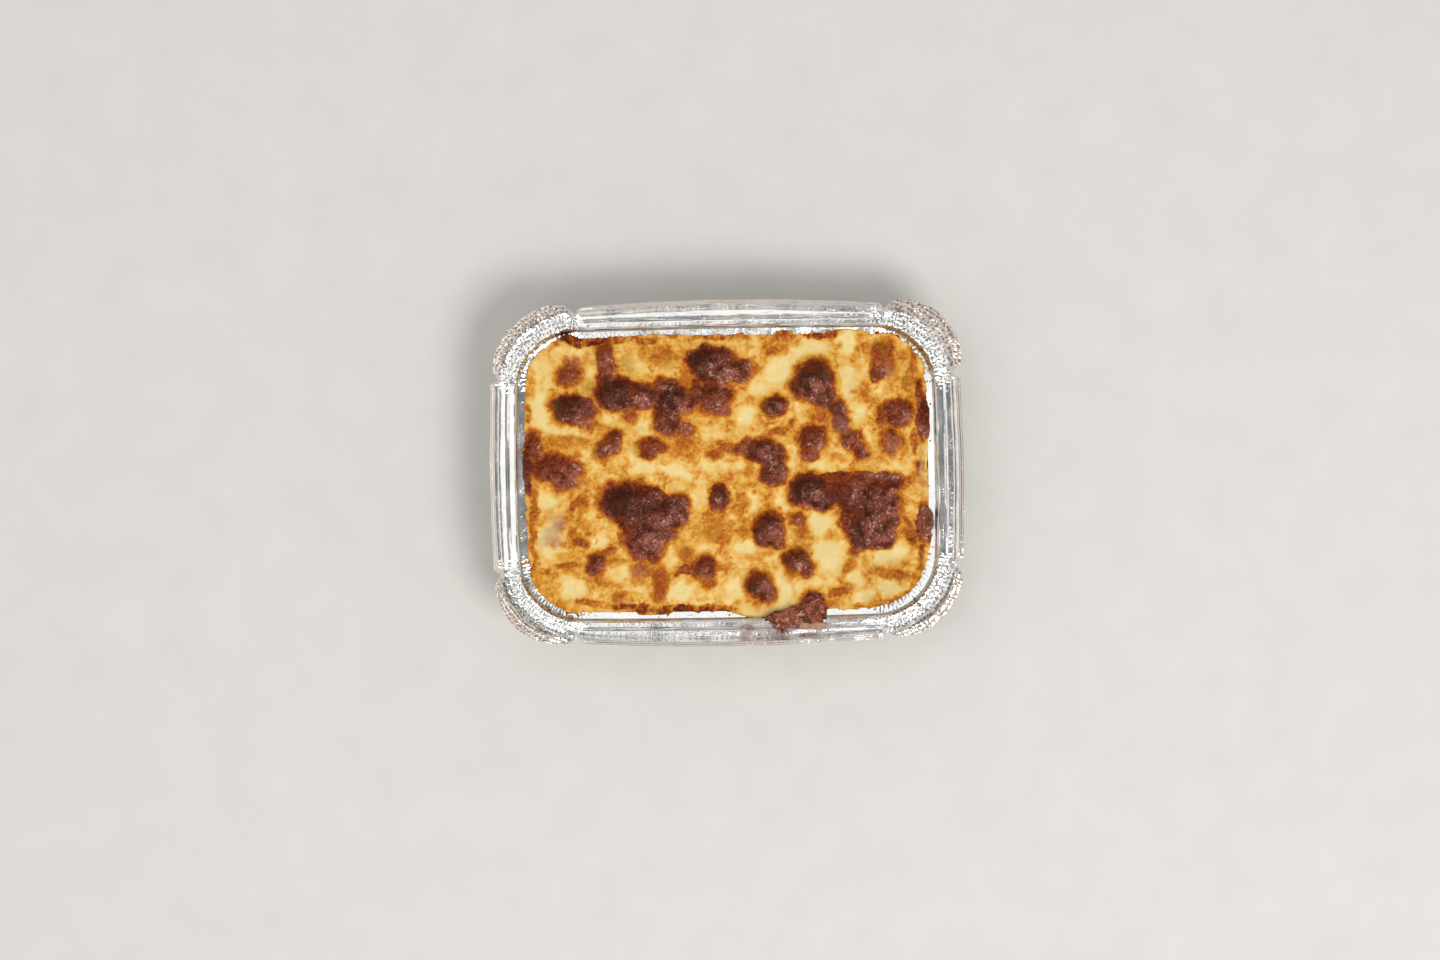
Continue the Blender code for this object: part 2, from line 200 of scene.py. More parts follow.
# Section from the floor's edge to the shoulder: distance out from the wall's top line, height
floorEdge = (-18.5, 0.18)
floorBend = (-14.4, 1.0)
wallFoot = (-12.3, 4.2)
wallMiddle = (-8.3, 17.0)
ledgeInner = (-4.2, 30.0)
ledgeOuter = (-1.3, 30.6)
shoulderInner = (-0.5, 35.1)
shoulderOuter = (0.5, 36.0)
flangeOuter = (7.4, 35.7)
lipTop = 41.2
earTop = 39.0
earEdge = 37.2
rowsBetween = (1, 1, 2, 2, 5, 3, 3, 14, 1, 12, 8)        # from one mark of the section to the next
# where some of the marks come in that count
atFloorBend, atWallFoot, atLedge, atLedgeEdge = 1, 2, 4, 5
atShoulder, atFlangeEnd, atCrest, atHem = 7, 8, 10, 11

# Burnt sauce on the flange: X, Y, length, width, turn, strength
stains = (
    (8, -73, 9, 9, 0, 1.0), (15, -74, 9, 6, 0, 0.5), (24, -73.5, 16, 8, 0, 1.0),
    (37, -75, 14, 5, 0, 0.6), (47, -71, 5, 6, 0, 0.4), (30, -71, 30, 5, 0, 1.0),
    (95, -24, 5, 14, 0, 0.4), (-96, 4, 4, 16, 0, 0.35),
)


def bow(depth, along, halfLength):
    return depth * np.maximum(0.0, 1.0 - (along / halfLength) ** 2)


def earReach(dx, dy, halfLength, halfWidth, radius):
    earX, earY = halfLength - radius - arcX, halfWidth - radius - arcY
    along = earX * dx + earY * dy
    reach = along + math.sqrt(max(along * along - earX ** 2 - earY ** 2 + radius ** 2, 0.0))
    if dy * reach < earY:
        return (halfLength - arcX) / dx
    if dx * reach < earX:
        return (halfWidth - arcY) / dy
    return reach


def notchShare(angle, notchAngle, earSide):
    straight, ear = tray["notchAngles"]
    off = (angle - notchAngle) * earSide
    return float(ease(1.0 - abs(off) / (ear if off > 0 else straight), 0.0, 1.1))


# What is known of each station of the rim: place on the wall's top line, way out, reach of the lip,
# shares of ear, notch and pleats, angle in its corner or place on its side, how far the wall is drawn in
rimParts = ("x", "y", "dx", "dy", "reach", "ear", "notch", "pleated", "along", "wallIn")


def cornerStations(halfLength, halfWidth, radius, shortNotch, longNotch, draw):
    lipX = tray["lipHalf"][0] - tray["lipBow"][0]
    lipY = tray["lipHalf"][1] - tray["lipBow"][1]
    first = math.degrees(math.atan2(shortNotch - arcY, lipX - arcX))
    last = 90.0 - math.degrees(math.atan2(longNotch - arcX, lipY - arcY))
    rise = tray["earRise"]
    before, past = tray["pleatRise"]
    onSide = tray["sidePleats"]
    stations = []
    for step in range(tray["cornerSteps"] + 1):
        angle = 90.0 * step / tray["cornerSteps"]
        dx, dy = math.cos(math.radians(angle)), math.sin(math.radians(angle))
        straight = min((lipX - arcX) / max(dx, 1e-6), (lipY - arcY) / max(dy, 1e-6))
        ear = float(ease(angle, first, first + rise) * ease(-angle, -last, rise - last))
        wide = earReach(dx, dy, halfLength, halfWidth, radius)
        inShort = notchShare(angle, first, 1)
        inLong = notchShare(angle, last, -1)
        reach = straight + (wide - straight) * ear - tray["wallCorner"]
        reach -= inShort * tray["notchDepth"][0] + inLong * tray["notchDepth"][1]
        wallIn = draw * float(ease(2.0 * dx * dy, 0.0, 1.0))
        base = (arcX + dx * tray["wallCorner"], arcY + dy * tray["wallCorner"])
        inCorner = ease(angle, first - before, first + past) * ease(-angle, -last - before, past - last)
        pleated = onSide + (1.0 - onSide) * float(inCorner)
        stations.append((*base, dx, dy, reach, ear, inShort + inLong, pleated, angle, wallIn))
    return stations


def sideStations(along, out, halfAlong, wall, lip, lipBow, steps):
    stations = []
    for step in range(1, steps):
        place = halfAlong * (2.0 * step / steps - 1.0)
        wallHere = wall + float(bow(tray["wallBow"], place, halfAlong))
        lipHere = lip - lipBow + float(bow(lipBow, place, halfAlong))
        nearCorner = float(ease(abs(place), halfAlong - tray["sidePleatFade"], halfAlong))
        base = (along[0] * place + out[0] * wallHere, along[1] * place + out[1] * wallHere)
        pleated = tray["sidePleats"] * nearCorner
        stations.append((*base, *out, lipHere - wallHere, 0.0, 0.0, pleated, place, 0.0))
    return stations


def rimStations():        # anticlockwise from the short side at +X
    halfX, halfY = tray["wallHalf"]
    lipX, lipY = tray["lipHalf"]
    bowX, bowY = tray["lipBow"]
    sides = (
        ((-1, 0), (0, 1), arcX, halfY, lipY, bowY, tray["longSteps"]),
        ((0, -1), (-1, 0), arcY, halfX, lipX, bowX, tray["shortSteps"]),
        ((1, 0), (0, -1), arcX, halfY, lipY, bowY, tray["longSteps"]),
        ((0, 1), (1, 0), arcY, halfX, lipX, bowX, tray["shortSteps"]),
    )
    stations = []
    for corner, side in zip(tray["corners"], sides):
        sideX, sideY = corner[:2]
        turned = [
            (x * sideX, y * sideY, dx * sideX, dy * sideY, *rest)
            for x, y, dx, dy, *rest in cornerStations(*corner[2:])
        ]
        if sideX * sideY < 0:
            turned.reverse()
        stations += turned + sideStations(*side)
    return dict(zip(rimParts, np.array(stations).T))


def outFrom(rim, offset):        # the places this far out from the wall's top line
    return rim["x"] + rim["dx"] * offset, rim["y"] + rim["dy"] * offset


# The sheet's rows from the floor out to the hem, each as offsets and heights round the rim
def trayRows(rim):
    reach, ear, notch = rim["reach"], rim["ear"], rim["notch"]
    ones = np.ones_like(reach)
    crest = reach - tray["crestIn"][0] - tray["crestIn"][1] * ear
    top = lipTop + (earTop - lipTop) * ear - tray["notchDrop"] * notch
    hem = top - tray["hemDrop"] + (earEdge - earTop + tray["hemDrop"]) * ear
    flange = np.minimum(flangeOuter[0], reach - tray["flangeIn"] * (1.0 - 0.3 * notch))
    inner = (floorEdge, floorBend, wallFoot, wallMiddle, ledgeInner)
    marks = [(mark[0] * ones - rim["wallIn"], mark[1] * ones) for mark in inner]
    marks += [(mark[0] * ones, mark[1] * ones) for mark in (ledgeOuter, shoulderInner, shoulderOuter)]
    marks.append((flange, flangeOuter[1] * ones))
    marks.append((flange + 0.6, flangeOuter[1] - 0.3 + 0.6 * ear))        # the bend up into the lip
    marks.append((crest, top))
    marks.append((reach, hem))
    rows = [(*marks[0], 0.0)]
    for number, (low, high, count) in enumerate(zip(marks, marks[1:], rowsBetween)):
        for step in range(1, count + 1):
            t = step / count
            rows.append((low[0] + (high[0] - low[0]) * t, low[1] + (high[1] - low[1]) * t, number + t))
    for place, (inward, down) in zip((atHem + 0.4, atHem + 0.8), tray["hemCurl"]):
        rows.append((reach - inward, hem - down, place))
    return rows


def zigzag(phase):        # from -0.5 to 0.5 and back over 1
    return np.abs((phase % 1.0) * 2.0 - 1.0) - 0.5


def pleatsAt(rim, offset):        # how many pleats along its corner and how many pressed arcs out a place is
    px, py = outFrom(rim, offset)
    pleats = rim["along"] / tray["pleatPitch"]
    pleats = pleats + 0.9 * wander(px, py, 6.0, 3.0) + 0.5 * wander(px, py, 2.0, 4.0)
    arcs = (offset + 0.9 * wander(px, py, 4.0, 7.0)) / tray["ringPitch"]
    return pleats, arcs


# Pressed beads, pleats, facets and dents that the sheet has besides its section
def trayRelief(rim, offset, place):
    px, py = outFrom(rim, offset)
    ear, pleated, reach = rim["ear"], rim["pleated"], rim["reach"]
    relief = np.zeros_like(px)
    if place > atLedge:
        start, whole = tray["earBorder"]
        edge = ease(offset, reach - start, reach - whole)
        calm = 0.4 + 0.6 * ease(offset, -1.5, 2.0)        # the ledge is pressed flatter
        phase, arcs = pleatsAt(rim, offset)
        relief += tray["pleatDepth"] * zigzag(phase) * pleated * calm * (1.0 - 0.2 * edge)
        relief += tray["ringDepth"] * zigzag(arcs) * ear * calm * (1.0 - 0.8 * edge)
        small, large = (cracks(px, py, size, 1.0 + i) - 0.3 for i, size in enumerate(tray["crumpleSizes"]))
        relief += tray["crumpleDepth"] * pleated * calm * (0.8 * small * (1.0 - edge) + 1.0 * large * edge)
        for ridge, height in tray["earRidges"]:
            bead = 0.6 + 0.8 * np.abs(np.sin(math.pi * (phase + 0.25)))
            relief += height * np.exp(-((offset - ridge) / tray["ridgeWidth"]) ** 2) * bead * ear
    straight = 1.0 - pleated
    if atShoulder < place < atFlangeEnd + 0.5:
        line, width, depth = tray["flangeLine"]
        relief -= depth * np.exp(-((offset - line) / width) ** 2) * straight
        start, top, end, height = tray["flangeBead"]
        relief += height * ease(offset, start, top) * (1.0 - ease(offset, top, end)) * straight
    if atCrest < place < atHem:
        pitch, depth = tray["lipLines"]
        relief += depth * np.sin(2.0 * math.pi * (place - atCrest) / pitch) * (1.0 - ear)
    if place > atLedge + 0.5:
        relief += 0.20 * wander(px, py, 9.0, 5.0) + 0.06 * wander(px, py, 3.0, 6.0)
    elif place > 0.5:        # the wall is drawn into soft upright folds at the corners
        often, depth = tray["wallFolds"]
        folds = zigzag(often * pleatsAt(rim, 0.0)[0])
        rise = float(ease(place, atFloorBend + 0.2, atWallFoot + 0.6))
        relief += 0.10 * wander(px, py, 9.0, 5.0) + depth * folds * pleated * rise
    return relief


def makeTray(material):
    rim = rimStations()
    x, y = rim["x"], rim["y"]
    # the ears' outline is a little polygonal, and the lip wavers
    rim["reach"] = rim["reach"] + 0.5 * wander(x, y, 5.0, 9.0) * rim["pleated"]
    rim["reach"] = rim["reach"] + 0.25 * wander(x, y, 14.0, 9.0)
    bm = bmesh.new()
    layers = [bm.verts.layers.float.new(name) for name in ("warmReflectionShare", "stain", "ear", "pleats", "arcs")]
    ring = bmesh.ops.create_circle(bm, cap_ends=True, segments=len(x), radius=1.0)["verts"]
    for count, (offset, height, place) in enumerate(trayRows(rim)):
        if count:
            ring = nextRing(bm, ring)
        relief = trayRelief(rim, offset, place) if place > atFloorBend else np.zeros_like(x)
        if place < atLedge or atLedgeEdge < place < atShoulder:        # walls swell sideways
            offset = offset + relief
        else:
            height = height + relief
        px, py = outFrom(rim, offset)
        # a painted warm reflection on the outer flange and the lip
        warmReflectionShare = np.clip((offset - 7.0) / 5.0, 0.0, 1.0)
        onEar = rim["ear"] * ease(offset, -1.5, 0.5) * (place > atLedge)
        fields = (warmReflectionShare, tintShare(px, py, stains), onEar, *pleatsAt(rim, offset))
        for vert, vx, vy, vz, *values in zip(ring, px, py, height, *fields):
            vert.co = Vector((vx, vy, vz)) * mm
            for layer, value in zip(layers, values):
                vert[layer] = value
    bmesh.ops.recalc_face_normals(bm, faces=bm.faces)
    floor = max(bm.faces, key=lambda face: len(face.verts))
    if floor.normal.z < 0:
        bmesh.ops.reverse_faces(bm, faces=bm.faces)
    piece = finishPiece(bm, "foilTray", material, "foil_tray", sharpAngle=38)
    sheet = piece.modifiers.new("sheet", "SOLIDIFY")
    sheet.thickness = tray["sheet"] * mm
    sheet.offset = -1.0
    return piece


# The crust

crust = {
    "gap": 0.2,               # to the wall
    "edge": 29.6,             # heights of the edge and of the top, and how far in from one to the other
    "level": 30.7,
    "shoulder": 7.0,
    "cells": (266, 184),
    "fineAbove": 0.46,        # browning past which the mesh is twice as fine
    "spreadFrom": 9.0,        # how far in from its edge the crust is drawn out over the ledge
    "ledgeLift": 1.9,         # how much higher its edge is where it lies on the ledge
    "underEdge": 29.3,
    "sideHeights": (26.0, 15.0, 4.2, 0.5),
    "wrinkle": 0.95,          # depth of the wrinkles on the char
    "charRise": 0.25,         # how much charred, browned and pale places stand up or sink
    "brownRise": 0.15,
    "poolDepth": 0.30,
    "lumps": (0.6, 0.46, 0.45),        # heights of the large and small lumps and the strands
    # how brown plain crust is, and how much its broad, fine and tiny mottle and its strands add
    "mottle": (0.245, 0.20, 0.17, 0.09, 0.12),
    "halo": 7.0,              # how far the amber round a charred place reaches
    "haloStrength": (0.33, 0.12),        # of all, and more with how far the place has browned
    "smudges": 190,
    "smudgeSeed": 4,
    "smudgeArea": (91.0, 62.0),
    "smudgeSize": (1.8, 5.5),
    "smudgeBrown": (0.32, 0.52),
    "lightWay": (0.62, -0.78),        # a blister's flaky side, which also gets a painted sheen, faces lower right, toward the main light
}

# Blisters, as in the solid: X, Y, length, width, turn in degrees, height
blisters = (
    (-71, 29, 20, 15, -15, 2.2), (-50, 38, 21, 14, 0, 2.4), (-36, 37, 13, 9, 0, 1.6),
    (-26, 32, 27, 15, 75, 2.4), (-4, 49, 30, 17, 0, 3.0), (-5, 34, 17, 17, 0, 2.0),
    (23, 31, 14, 11, 0, 2.2), (42, 41, 21, 20, -30, 2.8), (57, 19, 24, 10, -55, 1.6),
    (41, 14, 16, 15, 0, 2.0), (18, 8, 18, 17, 0, 2.2), (21, -4, 12, 12, 0, 1.8),
    (81, 26, 20, 14, 0, 2.4), (76, 13, 12, 16, 0, 1.5), (73, 50, 12, 20, 0, 1.8),
    (-55, 54, 9, 18, 0, 1.6), (-74, 45, 12, 14, 0, 1.2), (-54, 14, 11, 16, -35, 1.5),
    (-35, 12, 18, 9, -5, 1.4), (-80, 1, 27, 17, 0, 2.2), (-41, -17, 38, 24, -15, 3.2),
    (-38, -30, 18, 18, 0, 2.6), (-32, -50, 9, 20, 0, 1.2), (-61, -42, 10, 13, 0, 1.6),
    (-4, -11, 9, 12, 0, 1.6), (-11, -46, 11, 12, 0, 1.6), (19, -26, 16, 17, 0, 2.4),
    (14, -52, 15, 15, 0, 2.6), (32, -42, 15, 14, 0, 2.4), (33, -25, 9, 14, 0, 1.4),
    (39, -8, 20, 17, 0, 2.6), (66, -12, 38, 22, -8, 3.3), (68, -27, 20, 18, 30, 2.6),
)

# Browned places: X, Y, length, width, turn in degrees, how far it has browned (1 is charred)
scorches = (
    (-71, 31, 21, 14, -15, 0.9), (-75, 29, 10, 9, 0, 0.9), (-64, 25, 6, 9, 20, 0.6),
    (-73, 47, 14, 11, 35, 0.66), (-72, 51, 9, 7, 0, 0.62), (-81, 37, 5, 4, 0, 0.42),
    (-56, 55, 9, 19, 0, 0.68), (-56, 45, 8, 8, 0, 0.8), (-53, 49, 6, 7, 0, 0.66),
    (-52, 38, 18, 15, 0, 1.0), (-41, 37, 20, 13, -6, 0.84), (-45, 29, 8, 9, 0, 0.6),
    (-26, 36, 16, 14, 60, 1.0), (-27, 26, 14, 17, 0, 0.8), (-20, 21, 9, 8, 0, 0.68),
    (-17, 34, 9, 11, 0, 0.76), (-5, 50, 22, 17, -8, 0.96), (-9, 54, 18, 10, 0, 0.95),
    (6, 48, 13, 10, 10, 0.86), (-6, 36, 19, 17, 0, 0.78), (-3, 30, 10, 8, 0, 0.72),
    (11.5, 46, 5, 4, 0, 0.6), (23, 31.5, 12, 9, 10, 0.86), (42, 42, 18, 20, 0, 0.97),
    (36, 40, 12, 12, 0, 0.84), (46, 35, 12, 10, 0, 0.86), (52, 29, 10, 8, -35, 0.82),
    (54, 22, 10, 9, -50, 0.72), (58, 15, 11, 10, -50, 0.72), (63, 9, 9, 7, -20, 0.82),
    (40, 15, 14, 12, 0, 0.76), (39, 9, 10, 8, 0, 0.72), (18, 9, 19, 13, -20, 0.88),
    (8, 12, 12, 7, 20, 0.66), (22, 0, 13, 13, 0, 0.84), (-6, 9, 9, 6, 0, 0.56), (0, 12, 9, 6, 0, 0.56),
    (24, 19, 12, 4, 15, 0.55), (31, 23, 6, 4, 40, 0.56), (80, 27, 16, 13, 0, 0.74),
    (76, 25, 9, 8, 0, 0.66), (92, 24, 6, 20, 0, 0.8), (90, 36, 3, 12, 0, 0.7), (77, 14, 12, 16, 0, 0.6),
    (77, 17, 5, 6, 0, 0.74), (74, 52, 12, 19, 0, 0.6), (71.5, 54, 6, 10, 0, 0.62),
    (72, 46, 7, 8, 0, 0.74), (83, 53, 7, 6, 0, 0.45), (67, 57, 5, 6, 0, 0.42), (88, 12, 3, 12, 0, 0.55),
    (-55, 14, 11, 16, -40, 0.72), (-52, 17, 7, 8, 0, 0.76), (-34, 13, 15, 9, -10, 0.7),
    (-36, 10, 9, 7, 0, 0.72), (-80, 3, 26, 15, -12, 0.74), (-76, -2, 14, 10, 0, 0.72),
    (-90, 14, 9, 14, 0, 0.74), (-93, 2, 5, 22, 0, 0.84), (-49, -13, 20, 18, 0, 1.0),
    (-37, -20, 27, 21, -20, 0.9), (-26, -18, 16, 16, 0, 0.9), (-22, -13, 9, 7, 0, 0.72),
    (-38, -32, 17, 17, 0, 0.94), (-35, -39, 7, 6, 0, 0.74), (-45, -31, 7, 14, 35, 0.62),
    (-59, -12, 6, 18, 10, 0.5), (-41, -44, 10, 9, 0, 0.56), (-32, -51, 8, 17, 0, 0.56),
    (-62, -42, 9, 11, 0, 0.74), (-58, -36, 10, 2.5, 10, 0.55), (-61, -49, 6, 5, 0, 0.5),
    (-69, -32, 7, 5, 0, 0.6), (-75, -42, 13, 3.5, 5, 0.55), (-71, -14, 10, 3.5, 50, 0.55),
    (-67, -14, 5, 5, 0, 0.55), (-77, -22, 9, 4, 50, 0.5), (-90, -13, 4, 16, 0, 0.5),
    (-91, -32, 2.5, 26, 0, 0.5), (-51, -40, 9, 3, 5, 0.45), (-58, -51, 8, 3, 0, 0.45),
    (-51, -57, 8, 4, 25, 0.48), (-43, -49, 6, 5, 0, 0.42), (-4, -11, 9, 12, 10, 0.86),
    (6, -11, 5, 6, 0, 0.48), (6, -16, 9, 5, 25, 0.5), (7, -28, 9, 5, 0, 0.48),
    (-20, -37, 8, 6, 0, 0.52), (-22, -46, 10, 3, 10, 0.62), (-11, -44, 11, 11, 0, 0.78),
    (-10, -51, 6, 8, 0, 0.56), (-2, -44, 9, 3, 0, 0.42), (19, -27, 14, 15, 0, 0.88),
    (23, -33, 9, 8, 0, 0.66), (33, -22, 8, 7, 0, 0.66), (34, -28, 7, 8, 0, 0.56),
    (32, -42, 12, 11, -20, 0.86), (36, -45, 9, 8, 0, 0.8), (14, -53, 12, 12, 0, 0.86),
    (17, -56, 9, 8, 0, 0.8), (38, -9, 19, 15, 10, 1.0), (44, -12, 14, 12, 0, 0.95),
    (57, -8, 24, 11, 0, 0.78), (74, -7, 19, 11, 8, 0.82), (66, -15, 29, 16, 0, 0.9),
    (68, -24, 24, 16, 20, 1.0), (64, -31, 15, 12, 0, 0.96), (72, -32, 14, 9, 20, 0.92),
    (58, -25, 10, 20, 35, 0.7), (60, -36, 7, 9, 0, 0.62), (92, -24, 6.5, 15, 0, 0.95),
    (84, -24, 3, 12, 30, 0.6), (84, -30, 7, 3, -40, 0.56), (56, -45, 4.5, 10, -35, 0.52),
    (74, -48, 21, 5.5, -6, 0.5), (80, -49, 8, 5, -10, 0.58), (52, -56, 11, 5, 12, 0.58),
    (49, -61, 8, 4, 0, 0.45), (89, 1, 3, 5, 0, 0.6), (26, 2, 5, 7, 0, 0.7), (12, 34, 4, 4, 0, 0.4),
    (-75, 16, 24, 6, -6, 0.45), (-20, 11, 17, 8, 0, 0.42), (-18, 47, 6, 12, 0, 0.46),
    (-5, -27, 18, 11, 0, 0.44), (-72, -38, 18, 6, 0, 0.36), (15, -39, 14, 4, 0, 0.36),
    (48, -30, 6, 4, 0, 0.42), (66, 38, 7, 10, 0, 0.42), (22, 57, 5, 4, 0, 0.5),
    (-38, 57, 5, 8, 0, 0.46), (-30, 55, 10, 9, 0, 0.34), (42, 27, 10, 6, 0, 0.36),
    (52, 6, 8, 4, 0, 0.4), (86, 41, 6, 7, 0, 0.42), (84, -57, 4, 8, -40, 0.6), (-34, -57, 5, 6, 0, 0.5),
    (39, -60.5, 11, 10, 0, 0.7), (28, -65, 20, 4, 0, 0.6), (-14, 41, 6, 9, 0, 0.7),
    (-30, 42, 8, 8, 0, 0.7), (-32, -25, 18, 13, -52, 0.84), (-47, -21, 10, 15, 35, 0.8),
    (-38, -8, 22, 6, -15, 0.72), (60, -3, 46, 5, 0, 0.7), (-36, -11, 26, 8, -12, 0.86),
    (-45, -27, 9, 16, 30, 0.74), (54, -13, 14, 10, 0, 0.85),
)

# Browned along the tray's side: X and Y of the middle, length, width, turn, how far it has browned
rimScorches = (
    (-66, 62, 20, 4, 6, 0.86), (-55, 63, 14, 3.5, 0, 0.74), (-45, 63, 9, 3, 0, 0.66),
    (-36, 62, 9, 3, 0, 0.66), (-24, 64, 5, 2.5, 0, 0.6), (-5, 64, 16, 3.5, 0, 0.66),
    (6, 63, 10, 4, 0, 0.56), (28, 63, 8, 4.5, 0, 0.7), (45, 63.5, 14, 3.5, 0, 0.82),
    (-62, -60, 26, 3, -9, 0.62), (-42, -62, 24, 3.2, -4, 0.8), (-20, -63, 26, 3.4, 0, 0.9),
    (-4, -63, 12, 3, 0, 0.72), (-82, -54, 4, 24, 40, 0.48), (-89, -42, 3, 16, 12, 0.5),
    (-92.5, 26, 2.5, 26, 0, 0.55), (-90, 42, 3, 14, -14, 0.4), (90, -38, 2.2, 14, -8, 0.64),
    (86, -49, 2.2, 14, -26, 0.62), (78, -58, 2.2, 14, -52, 0.62), (69, -62, 12, 2.4, 18, 0.6),
    (91.5, 6, 2.5, 20, 0, 0.45), (88, 46, 2.4, 18, 14, 0.62), (60, -63, 10, 2.5, 0, 0.5),
    (10, -67, 9, 2.4, 0, 0.62), (24, -67.5, 14, 2.6, 0, 0.74),
)

# Pale pools of cheese and sauce: X, Y, length, width, turn, how pale
pools = (
    (-87, 30, 10, 32, 8, 0.9), (-80, 21, 20, 6, -12, 0.8), (-84, 45, 14, 20, -30, 0.6),
    (-72, 56, 20, 6, 25, 0.6), (-56, 27, 9, 8, 0, 0.8), (-70, 18, 10, 5, 0, 0.5),
    (-5, 19, 16, 8, 0, 0.7), (-38, 21, 13, 8, 20, 0.6), (-24, 1, 18, 6, -20, 1.0),
    (-40, 3, 16, 6, 0, 0.8), (40, 57, 22, 9, 10, 1.0), (26, 48, 22, 14, 30, 1.0),
    (15, 39, 12, 9, 30, 0.9), (10, 26, 12, 9, 30, 0.9), (30, 8, 7, 12, -15, 1.1),
    (57, 60, 10, 14, 0, 1.1), (57, 42, 9, 24, 0, 0.9), (63, 27, 8, 10, -20, 0.9),
    (65, 14, 4.5, 14, -10, 0.9), (76, -39, 22, 9, 6, 1.1), (-84, -12, 12, 8, 0, 0.9),
    (-80, -37, 15, 8, 0, 0.8), (-73, -52, 16, 10, -20, 0.9), (-61, -31, 12, 6, 0, 0.9),
    (-51, -46, 12, 8, 0, 0.5), (-12, -10, 12, 15, 0, 0.6), (-27, -40, 14, 7, 30, 0.6),
    (-22, -55, 13, 10, 0, 1.0), (-13, -36, 10, 5, 0, 0.8), (2, -55, 10, 14, 0, 0.8),
    (12, -13, 8, 12, 0, 0.9), (27, -15, 12, 9, -20, 1.0), (44, -25, 13, 14, 0, 1.1),
    (46, -40, 16, 17, 0, 1.1), (25, -54, 10, 18, 15, 1.0), (14, -63, 26, 6, 0, 0.8),
    (8, -35, 13, 6, 0, 0.9), (60, -51, 9, 8, 0, 0.9), (63, -59, 13, 8, 15, 0.9),
    (75, -54, 16, 6, 18, 0.9), (54, 6, 10, 8, 0, 0.8), (-42, 53, 14, 8, 20, 0.5),
    (36, -54, 12, 8, 0, 0.7), (-50, -10, 1, 1, 0, 0.1), (80, 0, 16, 4, 0, 0.6),
)

# Tints: X, Y, length, width, turn, strength; olive where the cheese is olive-gold, and as painted shade
# on the upper left of blisters; grey on a lilac patch, and as painted grey highlight in a few places;
# painted rose highlight on the char; red where oil has fried
oliveTints = (
    (-45, 51, 10, 12, 0, 0.8), (-65, 41, 9, 9, 0, 0.9), (-61, 53, 5, 8, 0, 0.6),
    (-26, 52, 9, 9, 0, 0.8), (84, 42, 8, 7, 0, 0.9), (-84, -17, 5, 5, 0, 0.7), (-14, -27, 6, 7, 0, 0.6),
    (-26, -6, 8, 4, 0, 0.5), (65, -60, 9, 5, 0, 0.6), (-61, 11, 5, 12, -40, 0.8),
    (-43, 12, 5, 9, 0, 0.8), (-79, 31, 6, 12, 0, 0.9), (18, 30, 6, 9, 0, 0.7), (33, 41, 5, 12, 0, 0.4),
    (-57, -38, 6, 4, 0, 0.5), (-52, -41, 8, 4, 0, 0.5), (-8, -28, 20, 10, 0, 0.3),
    (72, 58, 9, 8, 0, 0.6), (27, -49, 7, 8, 0, 0.4), (62, -40, 12, 5, 0, 0.3),
    (72, -50, 44, 30, 0, 0.3), (44, 48, 50, 26, 0, 0.2), (38, -34, 34, 34, 0, 0.2),
    (-20, -37, 8, 7, 0, 0.6), (-71, -25, 9, 4, 0, 0.3), (14, -30, 5, 14, 0, 0.5),
    (8, -50, 5, 12, 0, 0.5),
)
greyTints = (
    (-82, -26, 9, 20, -25, 1.0), (-80, -30, 5, 9, -20, 0.8), (78, 12, 8, 12, 0, 0.3),
    (54, 22, 9, 12, 30, 0.4), (59, 40, 5, 9, 0, 0.3), (-70, 53, 9, 7, 0, 0.3), (76, 47, 8, 10, 0, 0.3),
    (-42, -45, 9, 8, 0, 0.25), (91.5, 0, 4, 30, 0, 0.5),
)
# painted rose highlights on the char, at the places listed
paintedSheenSpots = (
    (1, 45, 12, 10, 0, 1.0), (43, 40, 9, 8, 0, 0.8), (43, -11, 8, 6, 0, 1.0),
    (69, -23.5, 14, 7, 20, 0.8), (74, -31, 11, 6, 20, 1.0), (18, 9, 8, 8, 0, 1.0),
    (-25, 41, 10, 7, 0, 0.5), (60, -12, 9, 8, 0, 0.8), (-72, -2, 9, 8, 0, 1.0), (-18, 22, 6, 7, 0, 1.0),
    (-55, 55, 8, 8, 0, 0.9), (-35, -31, 12, 10, 0, 1.0), (-32, -22, 16, 9, 0, 0.7),
    (78, 29, 8, 7, 0, 0.4), (-48, 12, 8, 7, 0, 0.7), (22, -29, 7, 8, 0, 0.8), (34, -44, 7, 6, 0, 0.8),
    (16, -54, 7, 6, 0, 0.8), (24, 0, 7, 7, 0, 0.8), (42, 12, 8, 7, 0, 0.7), (-62, 25, 8, 7, 0, 0.8),
    (-39, 34, 9, 6, 0, 0.8), (-24, 27, 6, 9, 0, 0.8), (-2, 31, 8, 7, 0, 0.8),
)
redTints = (
    (71.5, 54, 4.5, 9, 0, 1.0), (-45, -31, 6, 14, 30, 0.6), (-32, -51, 8, 17, 0, 0.6),
    (53, 23, 8, 10, 0, 0.4), (61, -20, 6, 30, 35, 0.4), (-74, 8, 14, 6, 0, 0.4),
    (-1, 55, 14, 5, 0, 0.4), (9, -73, 7, 8, 0, 1.0), (55, -5, 16, 5, 0, 0.4), (74, -6, 12, 5, 0, 0.4),
    (41, 48, 10, 5, 0, 0.4), (60, 11, 12, 8, -30, 0.4),
)

